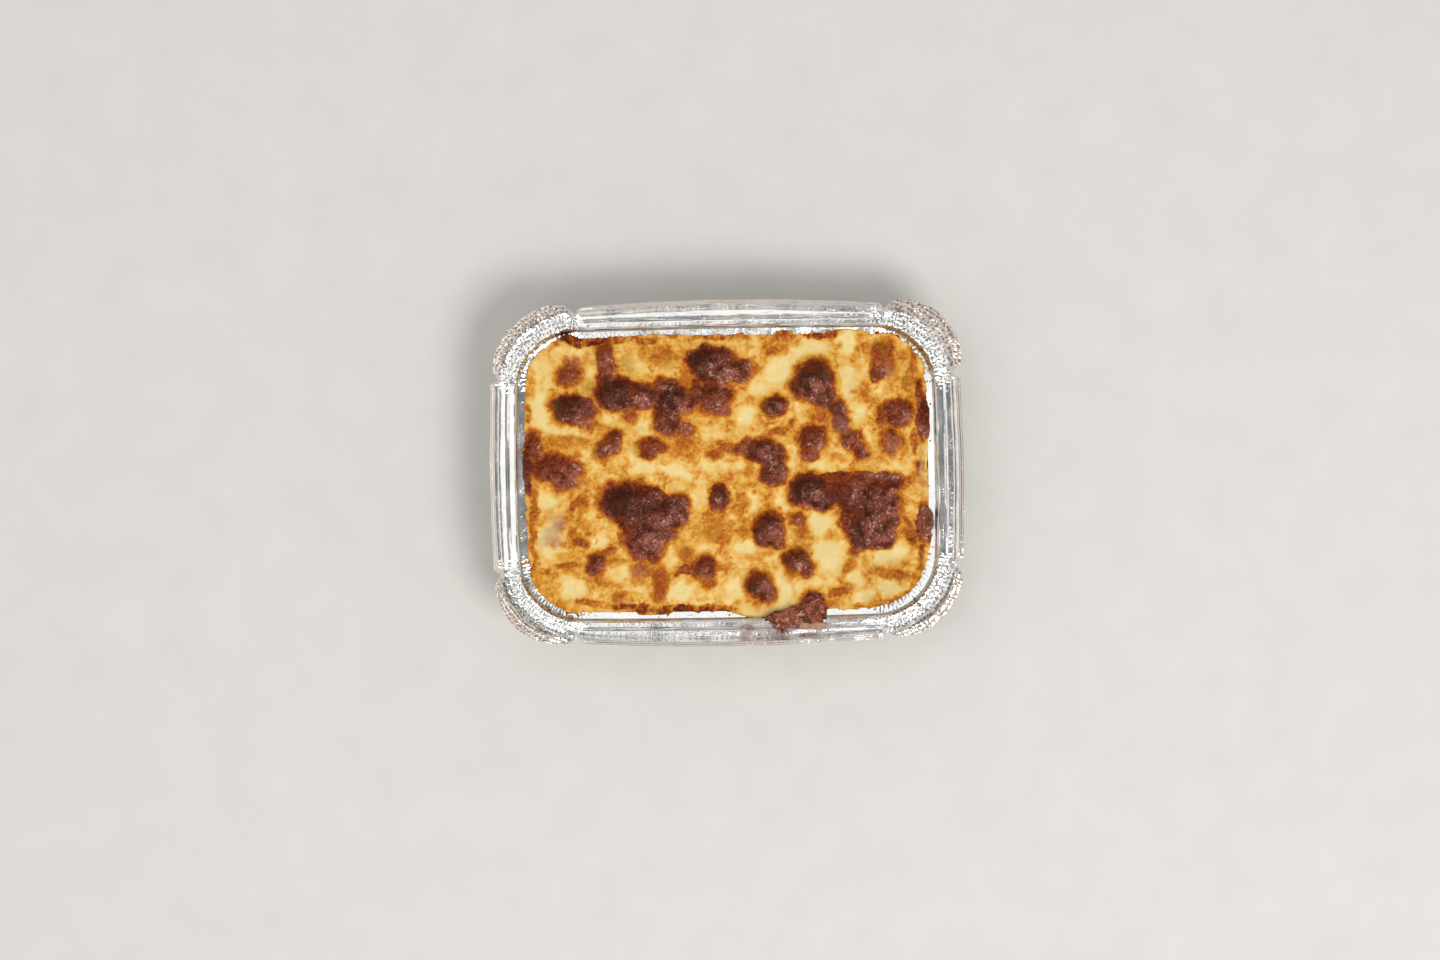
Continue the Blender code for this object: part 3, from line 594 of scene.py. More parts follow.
# Where the crust spreads over the ledge, or stops short of the wall: X, Y, length, width, turn, how far
spreads = (
    (23, -66, 48, 14, 0, 2.7), (57, 66, 22, 14, 0, 1.6), (28, 66, 10, 12, 0, 1.2),
    (-30, 66, 30, 12, 0, 0.5), (-84, 57, 36, 24, 42, 4.2), (-95, 4, 12, 24, 0, 0.7),
    (95, 24, 12, 24, 0, 0.5), (95, -28, 12, 22, 0, 0.8), (94, 2, 12, 18, 0, -0.6),
    (-94, -34, 12, 22, 0, -0.4), (-35, -66, 20, 12, 0, 0.7), (86, 57, 34, 20, -45, 1.6),
    (-86, -57, 36, 22, -42, 2.6), (86, -57, 34, 20, 45, 2.4),
)

# what each vertex keeps for the material
crustFields = ("browning", "ridge", "paintedSheen", "olive", "grey", "red")


def wallOffset(x, y):        # distance out from the wall's top line, less than 0 inside it
    x, y = np.abs(x), np.abs(y)
    y = y - bow(tray["wallBow"], x, arcX)
    x = x - bow(tray["wallBow"], y, arcY)
    beyond = np.hypot(np.maximum(x - arcX, 0.0), np.maximum(y - arcY, 0.0))
    return beyond + np.minimum(np.maximum(x - arcX, y - arcY), 0.0) - tray["wallCorner"]


def cornerDraw(x, y):        # how far the food's outline is drawn in with the wall
    over = np.stack((np.abs(x) - arcX, np.abs(y) - arcY))
    length = np.maximum(np.hypot(*over), 1e-6)
    share = ease(2.0 * over[0] * over[1] / length ** 2, 0.0, 1.0) * (over.min(axis=0) > 0.0)
    draw = np.zeros_like(x)
    for sideX, sideY, *rest in tray["corners"]:
        draw += rest[-1] * ((x * sideX > 0) & (y * sideY > 0))
    return draw * share


def crustHeight(x, y):        # the solid's own form: a slow roll, lumps, blisters and a fall to the edge
    rise = np.zeros_like(x)
    for blister in blisters:
        rise = np.maximum(rise, blister[5] * patchShare(x, y, blister, 0.35, 1.15))
    roll = 0.8 * wander(x, y, 24.0, 0.0)
    lump = 0.5 * np.array([noise.noise(Vector((a, b, 40.0)) / 9.0) for a, b in zip(x, y)])
    return crust["level"] + roll + lump + rise


def edgeSpread(x, y):
    spread = 0.45 + 0.7 * wander(x, y, 5.0, 21.0) + 0.45 * wander(x, y, 1.9, 22.0)
    for patch in spreads:
        spread += patch[5] * patchShare(x, y, patch, 0.5, 1.1)
    return spread


def scatterSmudges():        # small browned spots between the large ones, thin in the pools
    draw = random.Random(crust["smudgeSeed"])
    halfLength, halfWidth = crust["smudgeArea"]
    spots = []
    while len(spots) < crust["smudges"]:
        px, py = draw.uniform(-halfLength, halfLength), draw.uniform(-halfWidth, halfWidth)
        length = draw.uniform(*crust["smudgeSize"])
        width = length * draw.uniform(0.4, 0.9)
        spot = (px, py, length, width, draw.uniform(0, 180), draw.uniform(*crust["smudgeBrown"]))
        inPool = max(float(patchShare(px, py, pool, 0.5, 1.1)) * pool[5] for pool in pools)
        if draw.random() > 0.93 * inPool:
            spots.append(spot)
    return spots


def strands(x, y):        # threads of melted cheese, 0 to 1 on their crests
    wx, wy = stirred(x, y, 2.4, 91.0)
    return np.clip(1.0 - np.abs(wander(wx, wy, 6.5, 95.0)) * 4.0, 0.0, 1.0)


def browning(x, y):
    wx, wy = stirred(x, y, 2.0, 31.0)
    broad = wander(x, y, 13.0, 35.0)
    fine = wander(x, y, 4.2, 36.0)
    tiny = wander(x, y, 1.6, 37.0)
    pale = np.zeros_like(x)
    for patch in pools:
        pale = np.maximum(pale, patch[5] * patchShare(wx, wy, patch, 0.45, 1.25))
    plain, addBroad, addFine, addTiny, addStrands = crust["mottle"]
    value = plain + addBroad * broad + addFine * fine + addTiny * tiny + addStrands * strands(x, y)
    value = value * (1.0 - 0.86 * np.minimum(pale, 1.0)) + 0.01 * pale
    toast = np.zeros_like(x)
    for patch in scorches:
        peak = patch[5]
        out = outsideOf(wx, wy, patch)
        soft = min(patch[2:4]) * 0.26 + 0.8
        toast = np.maximum(toast, peak * (1.0 - ease(out, -0.8 * soft, soft + 1.3)))
        glow = crust["haloStrength"][0] + crust["haloStrength"][1] * peak
        halo = glow * (1.0 - ease(out, 0.0, crust["halo"] * peak)) * (1.0 + 0.9 * broad)
        value = np.maximum(value, halo * (1.0 - 0.7 * np.minimum(pale, 1.0)))
    for patch in rimScorches:
        out = outsideOf(x + 0.5 * (wx - x), y + 0.5 * (wy - y), patch)
        mottle = np.clip(0.74 + 0.5 * fine + 0.25 * tiny, 0.35, 0.95)
        toast = np.maximum(toast, patch[5] * (1.0 - ease(out, -0.5, 3.4)) * mottle)
    for patch in scatterSmudges():
        toast = np.maximum(toast, patch[5] * patchShare(wx, wy, patch, 0.1, 1.3))
    value = np.maximum(value, toast)
    return np.clip(value, 0.0, 1.0), pale * (1.0 - ease(toast, 0.2, 0.5))


def blisterSides(x, y):        # 0 at the upper left of each browned blister, 1 at its lower right
    wx, wy = stirred(x, y, 1.6, 131.0)
    wayX, wayY = crust["lightWay"]
    side = np.zeros_like(x)
    reach = np.full_like(x, 1e-6)
    for patch in scorches:
        if patch[5] < 0.6:
            continue
        share = patchShare(wx, wy, patch, 0.0, 1.5)
        along = ((wx - patch[0]) * wayX + (wy - patch[1]) * wayY) * 2 / math.sqrt(patch[2] * patch[3])
        side += share * along
        reach += share
    return ease(side / reach, -0.55, 0.65) * ease(reach, 0.0, 0.2)


def wrinkles(x, y):        # the shrunken skin of a charred blister: long winding ridges, 0 to 1
    wx = x + 1.1 * wander(x, y, 3.5, 41.0)
    wy = y + 1.1 * wander(x, y, 3.5, 42.0)
    diagonal = math.sqrt(0.5)
    along, across = (wx + wy) * diagonal, (wy - wx) * diagonal
    first = 1.0 - np.abs(wander(along * 0.62, across, 1.9, 43.0)) * 2.6
    second = 1.0 - np.abs(wander(wx, wy, 1.25, 44.0)) * 2.4
    return np.clip(0.65 * first + 0.35 * second, 0.0, 1.0)


def roundOff(x, y, halfLength, halfWidth, radius):
    overX = (abs(x) - (halfLength - radius)) / radius
    overY = (abs(y) - (halfWidth - radius)) / radius
    if overX > 0 and overY > 0:
        x = math.copysign(halfLength - radius * (1 - overX * math.sqrt(1 - overY ** 2 / 2)), x)
        y = math.copysign(halfWidth - radius * (1 - overY * math.sqrt(1 - overX ** 2 / 2)), y)
    return x, y


def wayOut(x, y):        # the way out from the food's outline
    overX, overY = np.maximum(np.abs(x) - arcX, 0.0), np.maximum(np.abs(y) - arcY, 0.0)
    onSide = overX * overY == 0.0
    outX = np.where(onSide, (overX > 0) * 1.0, overX)
    outY = np.where(onSide, (overX <= 0) * 1.0, overY)
    length = np.hypot(outX, outY)
    return np.copysign(outX / length, x), np.copysign(outY / length, y)


def wallFace(height):
    marks = (floorEdge, floorBend, wallFoot, wallMiddle, ledgeInner)
    return float(np.interp(height, [m[1] for m in marks], [m[0] for m in marks]))


def placesOf(verts):
    return np.array([v.co.x for v in verts]), np.array([v.co.y for v in verts])


def crustGrid(bm, edgeOut):        # flat, out to the food's outline, and twice as fine where it has browned
    halfLength, halfWidth = tray["wallHalf"][0] + edgeOut, tray["wallHalf"][1] + edgeOut
    radius = tray["wallCorner"] + edgeOut
    bmesh.ops.create_grid(bm, x_segments=crust["cells"][0], y_segments=crust["cells"][1], size=1.0)
    for vert in bm.verts:        # millimetres until the piece is closed
        x, y = roundOff(vert.co.x * halfLength, vert.co.y * halfWidth, halfLength, halfWidth, radius)
        y *= 1.0 + float(bow(tray["wallBow"], x, arcX)) / tray["wallHalf"][1]
        x *= 1.0 + float(bow(tray["wallBow"], y, arcY)) / tray["wallHalf"][0]
        vert.co = (x, y, 0.0)
    x, y = placesOf(bm.verts)
    fromArc = np.maximum(wallOffset(x, y) + tray["wallCorner"], 0.0) / radius
    outX, outY = wayOut(x, y)
    pull = cornerDraw(x, y) * fromArc
    for vert, px, py in zip(bm.verts, x - outX * pull, y - outY * pull):
        vert.co = (px, py, 0.0)
    centres = np.array([face.calc_center_median()[:2] for face in bm.faces]).T
    dark = browning(*centres)[0] > crust["fineAbove"]
    fine = {edge for face, isDark in zip(bm.faces, dark) if isDark for edge in face.edges}
    bmesh.ops.subdivide_edges(bm, edges=list(fine), cuts=1, use_grid_fill=True)
    print("crust grid:", len(bm.faces), "faces")


def crustTop(x, y, inward, spread):        # the heights, the lift on the ledge and what the material reads
    brown, pale = browning(x, y)
    side = blisterSides(x, y)
    ridge = wrinkles(x, y) * (0.4 + 0.6 * side)
    char = ease(brown, 0.46, 0.76)
    full = crustHeight(x, y)
    full += char * (crust["wrinkle"] * (ridge - 0.35) + crust["charRise"])
    full += ease(brown, 0.36, 0.5) * crust["brownRise"] - crust["poolDepth"] * pale
    lumpy = (1.0 - 0.6 * char) * (1.0 - 0.55 * np.clip(pale, 0.0, 1.0))
    large, small, thread = crust["lumps"]
    lumps = large * wander(x, y, 4.2, 61.0) + small * wander(x, y, 1.9, 62.0) + thread * strands(x, y)
    full += lumpy * lumps
    lift = ease(spread, 0.2, 1.2) * crust["ledgeLift"]
    edge = crust["edge"] + lift + 0.35 * wander(x, y, 2.4, 63.0)
    height = edge + (full - edge) * ease(inward, -0.5, crust["shoulder"])
    # painted sheen: lighter toward the lower right of each browned blister, the side that faces the main
    # light
    paintedSheen = side * (0.4 + 0.9 * wander(x, y, 4.5, 64.0)) + 0.8 * tintShare(x, y, paintedSheenSpots)
    fields = {
        "browning": brown,
        "ridge": ridge * char,
        "paintedSheen": ease(brown, 0.5, 0.7) * np.clip(paintedSheen, 0.0, 1.0),
        "olive": tintShare(x, y, oliveTints) * (1.0 - 0.75 * ease(brown, 0.5, 0.75)),
        "grey": tintShare(x, y, greyTints),
        "red": tintShare(x, y, redTints),
    }
    return height, lift, fields


def borderRing(verts):        # the open border's vertices in order
    rim = {v for v in verts if v.is_boundary}
    ring = [next(v for v in verts if v in rim)]
    while len(ring) < len(rim):
        links = [e.other_vert(ring[-1]) for e in ring[-1].link_edges if e.is_boundary]
        ring.append(next(v for v in links if v not in ring[-2:] and (v is not ring[0] or len(ring) > 2)))
    return ring


def makeCrust(material):
    edgeOut = wallFace(crust["edge"]) - crust["gap"]
    bm = bmesh.new()
    layers = {name: bm.verts.layers.float.new(name) for name in crustFields}
    crustGrid(bm, edgeOut)
    verts = list(bm.verts)
    x, y = placesOf(verts)
    inward = ledgeInner[0] - crust["gap"] - wallOffset(x, y) - cornerDraw(x, y)
    outX, outY = wayOut(x, y)
    spread = edgeSpread(x, y)
    share = 1.0 - ease(inward, 0.0, crust["spreadFrom"])
    height, lift, fields = crustTop(x, y, inward, spread)
    for vert, px, py, pz in zip(verts, x + outX * spread * share, y + outY * spread * share, height):
        vert.co = (px, py, pz)
    for name, layer in layers.items():
        for vert, value in zip(verts, fields[name]):
            vert[layer] = value

    # the sides: rounded over at the edge, then down inside the wall, then a flat base
    ring = borderRing(verts)
    number = {vert: i for i, vert in enumerate(verts)}
    order = np.array([number[vert] for vert in ring])
    startX, startY, startZ = x[order], y[order], height[order]
    outX, outY, spread, lift = outX[order], outY[order], spread[order], lift[order]
    rows = [(spread + 0.12, startZ - 0.35), (spread + 0.05, startZ - 0.8 - 0.15 * lift)]
    rows.append((np.minimum(spread, 0.0) - 0.1, np.minimum(startZ - 1.0, crust["underEdge"])))
    level = np.ones_like(startZ)
    rows += [((wallFace(z) - edgeOut - crust["gap"]) * level, z * level) for z in crust["sideHeights"]]
    for out, z in rows:
        ring = nextRing(bm, ring)
        for vert, px, py, pz in zip(ring, startX + outX * out, startY + outY * out, z):
            vert.co = (px, py, pz)
    bmesh.ops.contextual_create(bm, geom=[bm.edges.get(pair) for pair in zip(ring, ring[1:] + ring[:1])])
    bmesh.ops.scale(bm, vec=(mm, mm, mm), verts=bm.verts)
    bmesh.ops.recalc_face_normals(bm, faces=bm.faces)
    return finishPiece(bm, "bakedCrust", material, "baked_pasta")


# Crust that ran over the rim and charred there, as in the solid: X, Y, half length, half width, height
overflow = {
    "mounds": (
        ((39.8, -64.2, 6.4, 6.9, 37.2), (33.5, -66.6, 8.5, 4.8, 36.9), (25, -68.4, 8.5, 4.2, 36.9)),
        ((91.4, -24.0, 4.0, 8.0, 32.2),),
        ((41.5, -72.2, 4.6, 1.9, 37.2),),
        ((35.2, -71.8, 2.8, 1.6, 37.0),),
    ),
    "middles": ((33.8, -66.4), (91.4, -24.0), (41.5, -72.2), (35.2, -71.8)),
    "paleness": (0.0, 0.0, 0.36, 0.3),        # the last two are scraps that dried on the flange
    # its underside, by distance out from the wall's top line and height
    "root": (-7.6, 27.0),
    "crest": (-1.0, 36.4),
    "thinnest": 1.1,
    "segments": 200,
    "rings": 60,
}


def domeOf(x, y, pad):        # 0 outside a pad, 1 at its middle
    return np.sqrt(np.clip(1.0 - ((x - pad[0]) / pad[2]) ** 2 - ((y - pad[1]) / pad[3]) ** 2, 0.0, 1.0))


def moundReach(angle, middle, pads):        # from the middle to the outline of the joined pads
    turns = np.linspace(-math.pi, math.pi, 361)
    steps = np.linspace(0.5, 20.0, 300)
    x = middle[0] + np.outer(np.cos(turns), steps)
    y = middle[1] + np.outer(np.sin(turns), steps)
    inside = np.max([domeOf(x, y, pad) for pad in pads], axis=0) > 0.0
    return np.interp(angle, turns, (inside * steps).max(axis=1))


def makeOverflow(material):
    bm = bmesh.new()
    layers = {name: bm.verts.layers.float.new(name) for name in crustFields}
    for number, (middle, pads) in enumerate(zip(overflow["middles"], overflow["mounds"])):
        ball = bmesh.ops.create_uvsphere(
            bm, u_segments=overflow["segments"], v_segments=overflow["rings"], radius=1.0
        )
        unit = np.array([v.co[:] for v in ball["verts"]]).T
        angle = np.arctan2(unit[1], unit[0])
        flat = 1.0 - np.arccos(np.clip(np.abs(unit[2]), 0.0, 1.0)) * 2 / math.pi        # 1 over the middle
        ragged = 1.0 + 0.15 * wander(2.2 * np.cos(angle), 2.2 * np.sin(angle), 1.0, 71.0 + number)
        ragged += 0.12 * wander(7.0 * np.cos(angle), 7.0 * np.sin(angle), 1.0, 81.0 + number)
        reach = moundReach(angle, middle, pads)
        x = middle[0] + np.cos(angle) * reach * ragged * (1.0 - flat)
        y = middle[1] + np.sin(angle) * reach * ragged * (1.0 - flat)
        plainX = middle[0] + np.cos(angle) * reach * (1.0 - flat)
        plainY = middle[1] + np.sin(angle) * reach * (1.0 - flat)
        low = np.interp(wallOffset(x, y), *zip(overflow["root"], overflow["crest"]))        # on the rim
        domes = [domeOf(plainX, plainY, pad) for pad in pads]
        top = np.max([pad[4] * (dome > 0) for pad, dome in zip(pads, domes)], axis=0)
        dome = np.clip(np.sum([d ** 3 for d in domes], axis=0), 0.0, 1.0) ** (1 / 3) * (unit[2] > 0)
        ridge = wrinkles(x, y) * (0.4 + 0.6 * ease(wander(x, y, 6.0, 76.0), -0.3, 0.3))
        rough = 0.9 * (ridge - 0.35) + 0.6 * wander(x, y, 2.4, 73.0)
        high = (np.maximum(top - low, overflow["thinnest"]) + rough) * dome ** 0.6
        brown = np.clip(0.8 + 0.24 * wander(x, y, 4.0, 74.0), 0.7, 1.0) - overflow["paleness"][number]
        dried = min(1.0, 3.0 * overflow["paleness"][number])
        # painted sheen on the overflow's char, weaker on the dried scraps
        paintedSheen = ease(wander(x, y, 5.0, 75.0) + 0.3 * ridge, 0.0, 0.4)
        paintedSheen = np.clip(paintedSheen, 0.45, 1.0) * (1.0 - 0.75 * dried)
        ashy = 0.0 * x + 1.6 * dried
        fields = (brown, ridge, paintedSheen, 0.0 * x, ashy, 0.0 * x)
        for vert, px, py, pz, *values in zip(ball["verts"], x, y, low + high, *fields):
            vert.co = Vector((px, py, pz)) * mm
            for layer, value in zip(layers.values(), values):
                vert[layer] = value
    return finishPiece(bm, "charredOverflow", material, "baked_pasta")


# Burnt crumbs of cheese on the ledge along the food and on the flange by the overflow
crumbs = {
    "seed": 11,
    "onLedge": 150,
    "onFlange": 45,
    "ledgeReach": (-4.4, -1.6),        # distance out from the wall's top line
    "flangeSpread": (28.0, 12.0),      # middle and spread along the front flange
    "flangeReach": (66.5, 76.0),
    "size": (0.25, 0.9),
    "ledgeBrown": (0.2, 0.8),
    "flangeBrown": (0.6, 1.0),
    "segments": 7,
    "rings": 5,
}


def trayHeight(offset):        # the sheet's top at a distance out from the wall's top line
    marks = (ledgeInner, ledgeOuter, shoulderInner, shoulderOuter, flangeOuter)
    return float(np.interp(offset, [m[0] for m in marks], [m[1] for m in marks]))


def makeCrumbs(material):
    draw = random.Random(crumbs["seed"])
    bm = bmesh.new()
    scratch = bpy.data.meshes.new("oneCrumb")
    rim = rimStations()
    for number in range(crumbs["onLedge"] + crumbs["onFlange"]):
        size = draw.uniform(*crumbs["size"]) * draw.uniform(0.5, 1.0)
        onLedge = number < crumbs["onLedge"]
        if onLedge:
            station = draw.randrange(len(rim["x"]))
            offset = draw.uniform(*crumbs["ledgeReach"])
            height = trayHeight(offset)
            px, py = (places[station] for places in outFrom(rim, offset - rim["wallIn"]))
        else:
            px, py = draw.gauss(*crumbs["flangeSpread"]), -draw.uniform(*crumbs["flangeReach"])
            height = trayHeight(-py - tray["wallHalf"][1] - tray["wallBow"])
        crumb = bmesh.new()
        layers = [crumb.verts.layers.float.new(name) for name in crustFields]
        bmesh.ops.create_uvsphere(
            crumb, u_segments=crumbs["segments"], v_segments=crumbs["rings"], radius=size * mm
        )
        stretch = (draw.uniform(0.8, 1.7), draw.uniform(0.6, 1.0), draw.uniform(0.3, 0.6), 1.0)
        shape = Matrix.Rotation(draw.uniform(0, math.pi), 4, "Z") @ Matrix.Diagonal(stretch)
        bmesh.ops.transform(crumb, matrix=shape, verts=crumb.verts)
        bmesh.ops.translate(crumb, vec=(px * mm, py * mm, (height + 0.35 * size) * mm), verts=crumb.verts)
        brown = draw.uniform(*crumbs["ledgeBrown" if onLedge else "flangeBrown"])
        # values for the crust's fields; the third is a painted sheen
        values = (brown, draw.uniform(0, 1), draw.uniform(0, 0.6), 0.0, 0.0, 0.0)
        for vert in crumb.verts:
            for layer, value in zip(layers, values):
                vert[layer] = value
        crumb.to_mesh(scratch)
        crumb.free()
        bm.from_mesh(scratch)
    bpy.data.meshes.remove(scratch)
    return finishPiece(bm, "burntCrumbs", material, "baked_pasta")


# Materials

crustLook = {
    # sizes of its patterns: grain of the browning, threads of fried skin, flakes, fine grain, depth of all
    "speckle": 1.6 * mm,
    "threads": 4.0 * mm,
    "flakes": 3.4 * mm,
    "fineGrain": 0.9 * mm,
    "bumpHeight": 1.1 * mm,
    # from melted cheese to char
    "browned": (
        (0.0, "EFDC9F"), (0.12, "ECCD82"), (0.24, "E8B75C"), (0.34, "DC9D3A"), (0.44, "C77D1E"),
        (0.54, "B05D14"), (0.64, "92410C"), (0.76, "702A0A"), (0.88, "541D08"), (1.0, "3F1506"),
    ),
    # olive (olive-gold, and painted shade on the upper left of blisters), grey (partly painted highlight) and
    # red fried oil: colour, strength
    "tints": (("A87F25", 0.55), ("B09A88", 0.55), ("A0371A", 0.6)),
}


# Baked cheese: melted and set in the oven. Fat gives it a soft gloss, and thin skin over it browns
# from gold through amber to a nearly black char, whose wrinkles get a painted dull rose highlight
def crustMaterial():
    material, tree, shader = newMaterial("baked mozzarella crust")
    place = addNode(tree, "TexCoord").outputs["Object"]
    brown, ridge, paintedSheen, olive, grey, red = (
        addNode(tree, "Attribute", attribute_name=name).outputs["Fac"] for name in crustFields
    )
    # grain of the browning: faint in the pale pools, strong where the cheese has fried
    speckle = addNode(
        tree,
        "TexNoise",
        {"Scale": 1 / crustLook["speckle"], "Detail": 4.0, "Roughness": 0.6},
        {"Vector": place},
    ).outputs["Fac"]
    grainShare = addNode(
        tree,
        "MapRange",
        {"From Min": 0.08, "From Max": 0.34, "To Min": 0.08, "To Max": 0.3},
        {"Value": brown},
    ).outputs["Result"]
    swing = addNode(tree, "Math", {1: 0.5}, {0: speckle}, operation="SUBTRACT").outputs[0]
    grained = addNode(
        tree, "Math", {}, {0: swing, 1: grainShare, 2: brown}, operation="MULTIPLY_ADD"
    ).outputs[0]
    # short threads of fried skin, 1 mm wide, between paler curds
    flow = addNode(
        tree, "TexNoise", {"Scale": 1 / crustLook["threads"], "Distortion": 1.2}, {"Vector": place}
    ).outputs["Fac"]
    fromLine = addNode(tree, "Math", {1: 0.5}, {0: flow}, operation="PINGPONG").outputs[0]
    threads = addNode(
        tree, "MapRange", {"From Min": 0.44, "From Max": 0.48}, {"Value": fromLine}
    ).outputs["Result"]
    flakes = addNode(
        tree,
        "TexNoise",
        {"Scale": 1 / crustLook["flakes"], "Detail": 3.0, "Distortion": 1.4},
        {"Vector": place},
    ).outputs["Fac"]
    broken = addNode(
        tree, "MapRange", {"From Min": 0.45, "From Max": 0.62}, {"Value": flakes}
    ).outputs["Result"]
    curdled = addNode(tree, "Math", {1: -0.2}, {0: broken}, operation="MULTIPLY").outputs[0]
    network = addNode(
        tree, "Math", {1: 0.24}, {0: threads, 2: curdled}, operation="MULTIPLY_ADD"
    ).outputs[0]
    marbled = addNode(
        tree, "Math", {}, {0: network, 1: grainShare, 2: grained}, operation="MULTIPLY_ADD"
    ).outputs[0]
    depth = addNode(tree, "Clamp", {}, {"Value": marbled}).outputs[0]
    base = addNode(tree, "ValToRGB", {}, {"Fac": depth}, ramp=crustLook["browned"]).outputs["Color"]
    for tint, (shade, strength) in zip((olive, grey, red), crustLook["tints"]):
        share = addNode(tree, "Math", {1: strength}, {0: tint}, operation="MULTIPLY").outputs[0]
        base = addNode(tree, "Mix", {7: colour(shade)}, {0: share, 6: base}, data_type="RGBA").outputs[2]
    # painted highlight: wrinkle crests are painted a lighter rose, and flakes that lift off the char lighter
    # still
    risen = addNode(tree, "Math", {1: 0.5, 2: 0.5}, {0: ridge}, operation="MULTIPLY_ADD").outputs[0]
    crestHighlight = addNode(
        tree, "Math", {}, {0: risen, 1: paintedSheen}, operation="MULTIPLY", use_clamp=True
    ).outputs[0]
    lifted = addNode(tree, "Math", {}, {0: threads, 1: broken}, operation="MULTIPLY").outputs[0]
    strongPaintedSheen = addNode(tree, "Math", {1: 2.0}, {0: paintedSheen}, operation="MULTIPLY", use_clamp=True).outputs[0]
    flakeHighlight = addNode(tree, "Math", {}, {0: lifted, 1: strongPaintedSheen}, operation="MULTIPLY").outputs[0]
    # painted shade: the pits of the char are painted darkest
    char = addNode(tree, "MapRange", {"From Min": 0.5, "From Max": 0.75}, {"Value": brown}).outputs["Result"]
    pitted = addNode(
        tree, "MapRange", {"From Min": 0.46, "From Max": 0.3, "To Max": 0.6}, {"Value": flakes}
    ).outputs["Result"]
    paintedPitShade = addNode(
        tree, "Math", {}, {0: pitted, 1: char}, operation="MULTIPLY", use_clamp=True
    ).outputs[0]
    for share, shade in ((crestHighlight, "AE6652"), (flakeHighlight, "D69F8A"), (paintedPitShade, "2E0F07")):
        base = addNode(tree, "Mix", {7: colour(shade)}, {0: share, 6: base}, data_type="RGBA").outputs[2]
    tree.links.new(base, shader.inputs["Base Color"])
    rough = addNode(
        tree,
        "MapRange",
        {"From Min": 0.3, "From Max": 0.7, "To Min": 0.34, "To Max": 0.6},
        {"Value": speckle},
    ).outputs["Result"]
    tree.links.new(rough, shader.inputs["Roughness"])
    fineGrain = addNode(
        tree,
        "TexNoise",
        {"Scale": 1 / crustLook["fineGrain"], "Detail": 4.0, "Roughness": 0.65},
        {"Vector": place},
    ).outputs["Fac"]
    coarse = addNode(tree, "Math", {}, {0: speckle, 1: grainShare}, operation="MULTIPLY").outputs[0]
    grain = addNode(tree, "Math", {1: 0.35}, {0: fineGrain, 2: coarse}, operation="MULTIPLY_ADD").outputs[0]
    thick = addNode(tree, "Math", {1: 0.45}, {0: threads, 2: flakes}, operation="MULTIPLY_ADD").outputs[0]
    flakeDepth = addNode(tree, "Math", {}, {0: thick, 1: char}, operation="MULTIPLY").outputs[0]
    deep = crustLook["bumpHeight"]
    flaky = addNode(
        tree, "Bump", {"Strength": 0.9, "Distance": deep}, {"Height": flakeDepth}
    ).outputs["Normal"]
    bump = addNode(
        tree, "Bump", {"Strength": 0.7, "Distance": deep}, {"Height": grain, "Normal": flaky}
    ).outputs["Normal"]
    tree.links.new(bump, shader.inputs["Normal"])
    shader.inputs["IOR"].default_value = 1.46
    shader.inputs["Specular IOR Level"].default_value = 0.26
    shader.inputs["Specular Tint"].default_value = colour("EDB39A")
    shader.inputs["Subsurface Weight"].default_value = 0.12
    shader.inputs["Subsurface Radius"].default_value = (1.0, 0.5, 0.2)
    shader.inputs["Subsurface Scale"].default_value = 0.0018
    shader.inputs["Coat Weight"].default_value = 0.14
    shader.inputs["Coat Roughness"].default_value = 0.17
    return material


foilLook = {
    "blotch": 11.0 * mm,        # sizes of its patterns
    "film": 3.0 * mm,
    "creases": 2.6 * mm,
    "scuffs": 1.2 * mm,
    "tones": ((0.3, "D4D3CF"), (0.55, "E6E5E1"), (0.75, "EFEDE8")),
    # painted warm reflection on the lip
    "rim": "F4E6DA",
    "stain": "7C4F3E",
    # painted shade for the pits of the ears
    "pitShade": "6A6764",
}


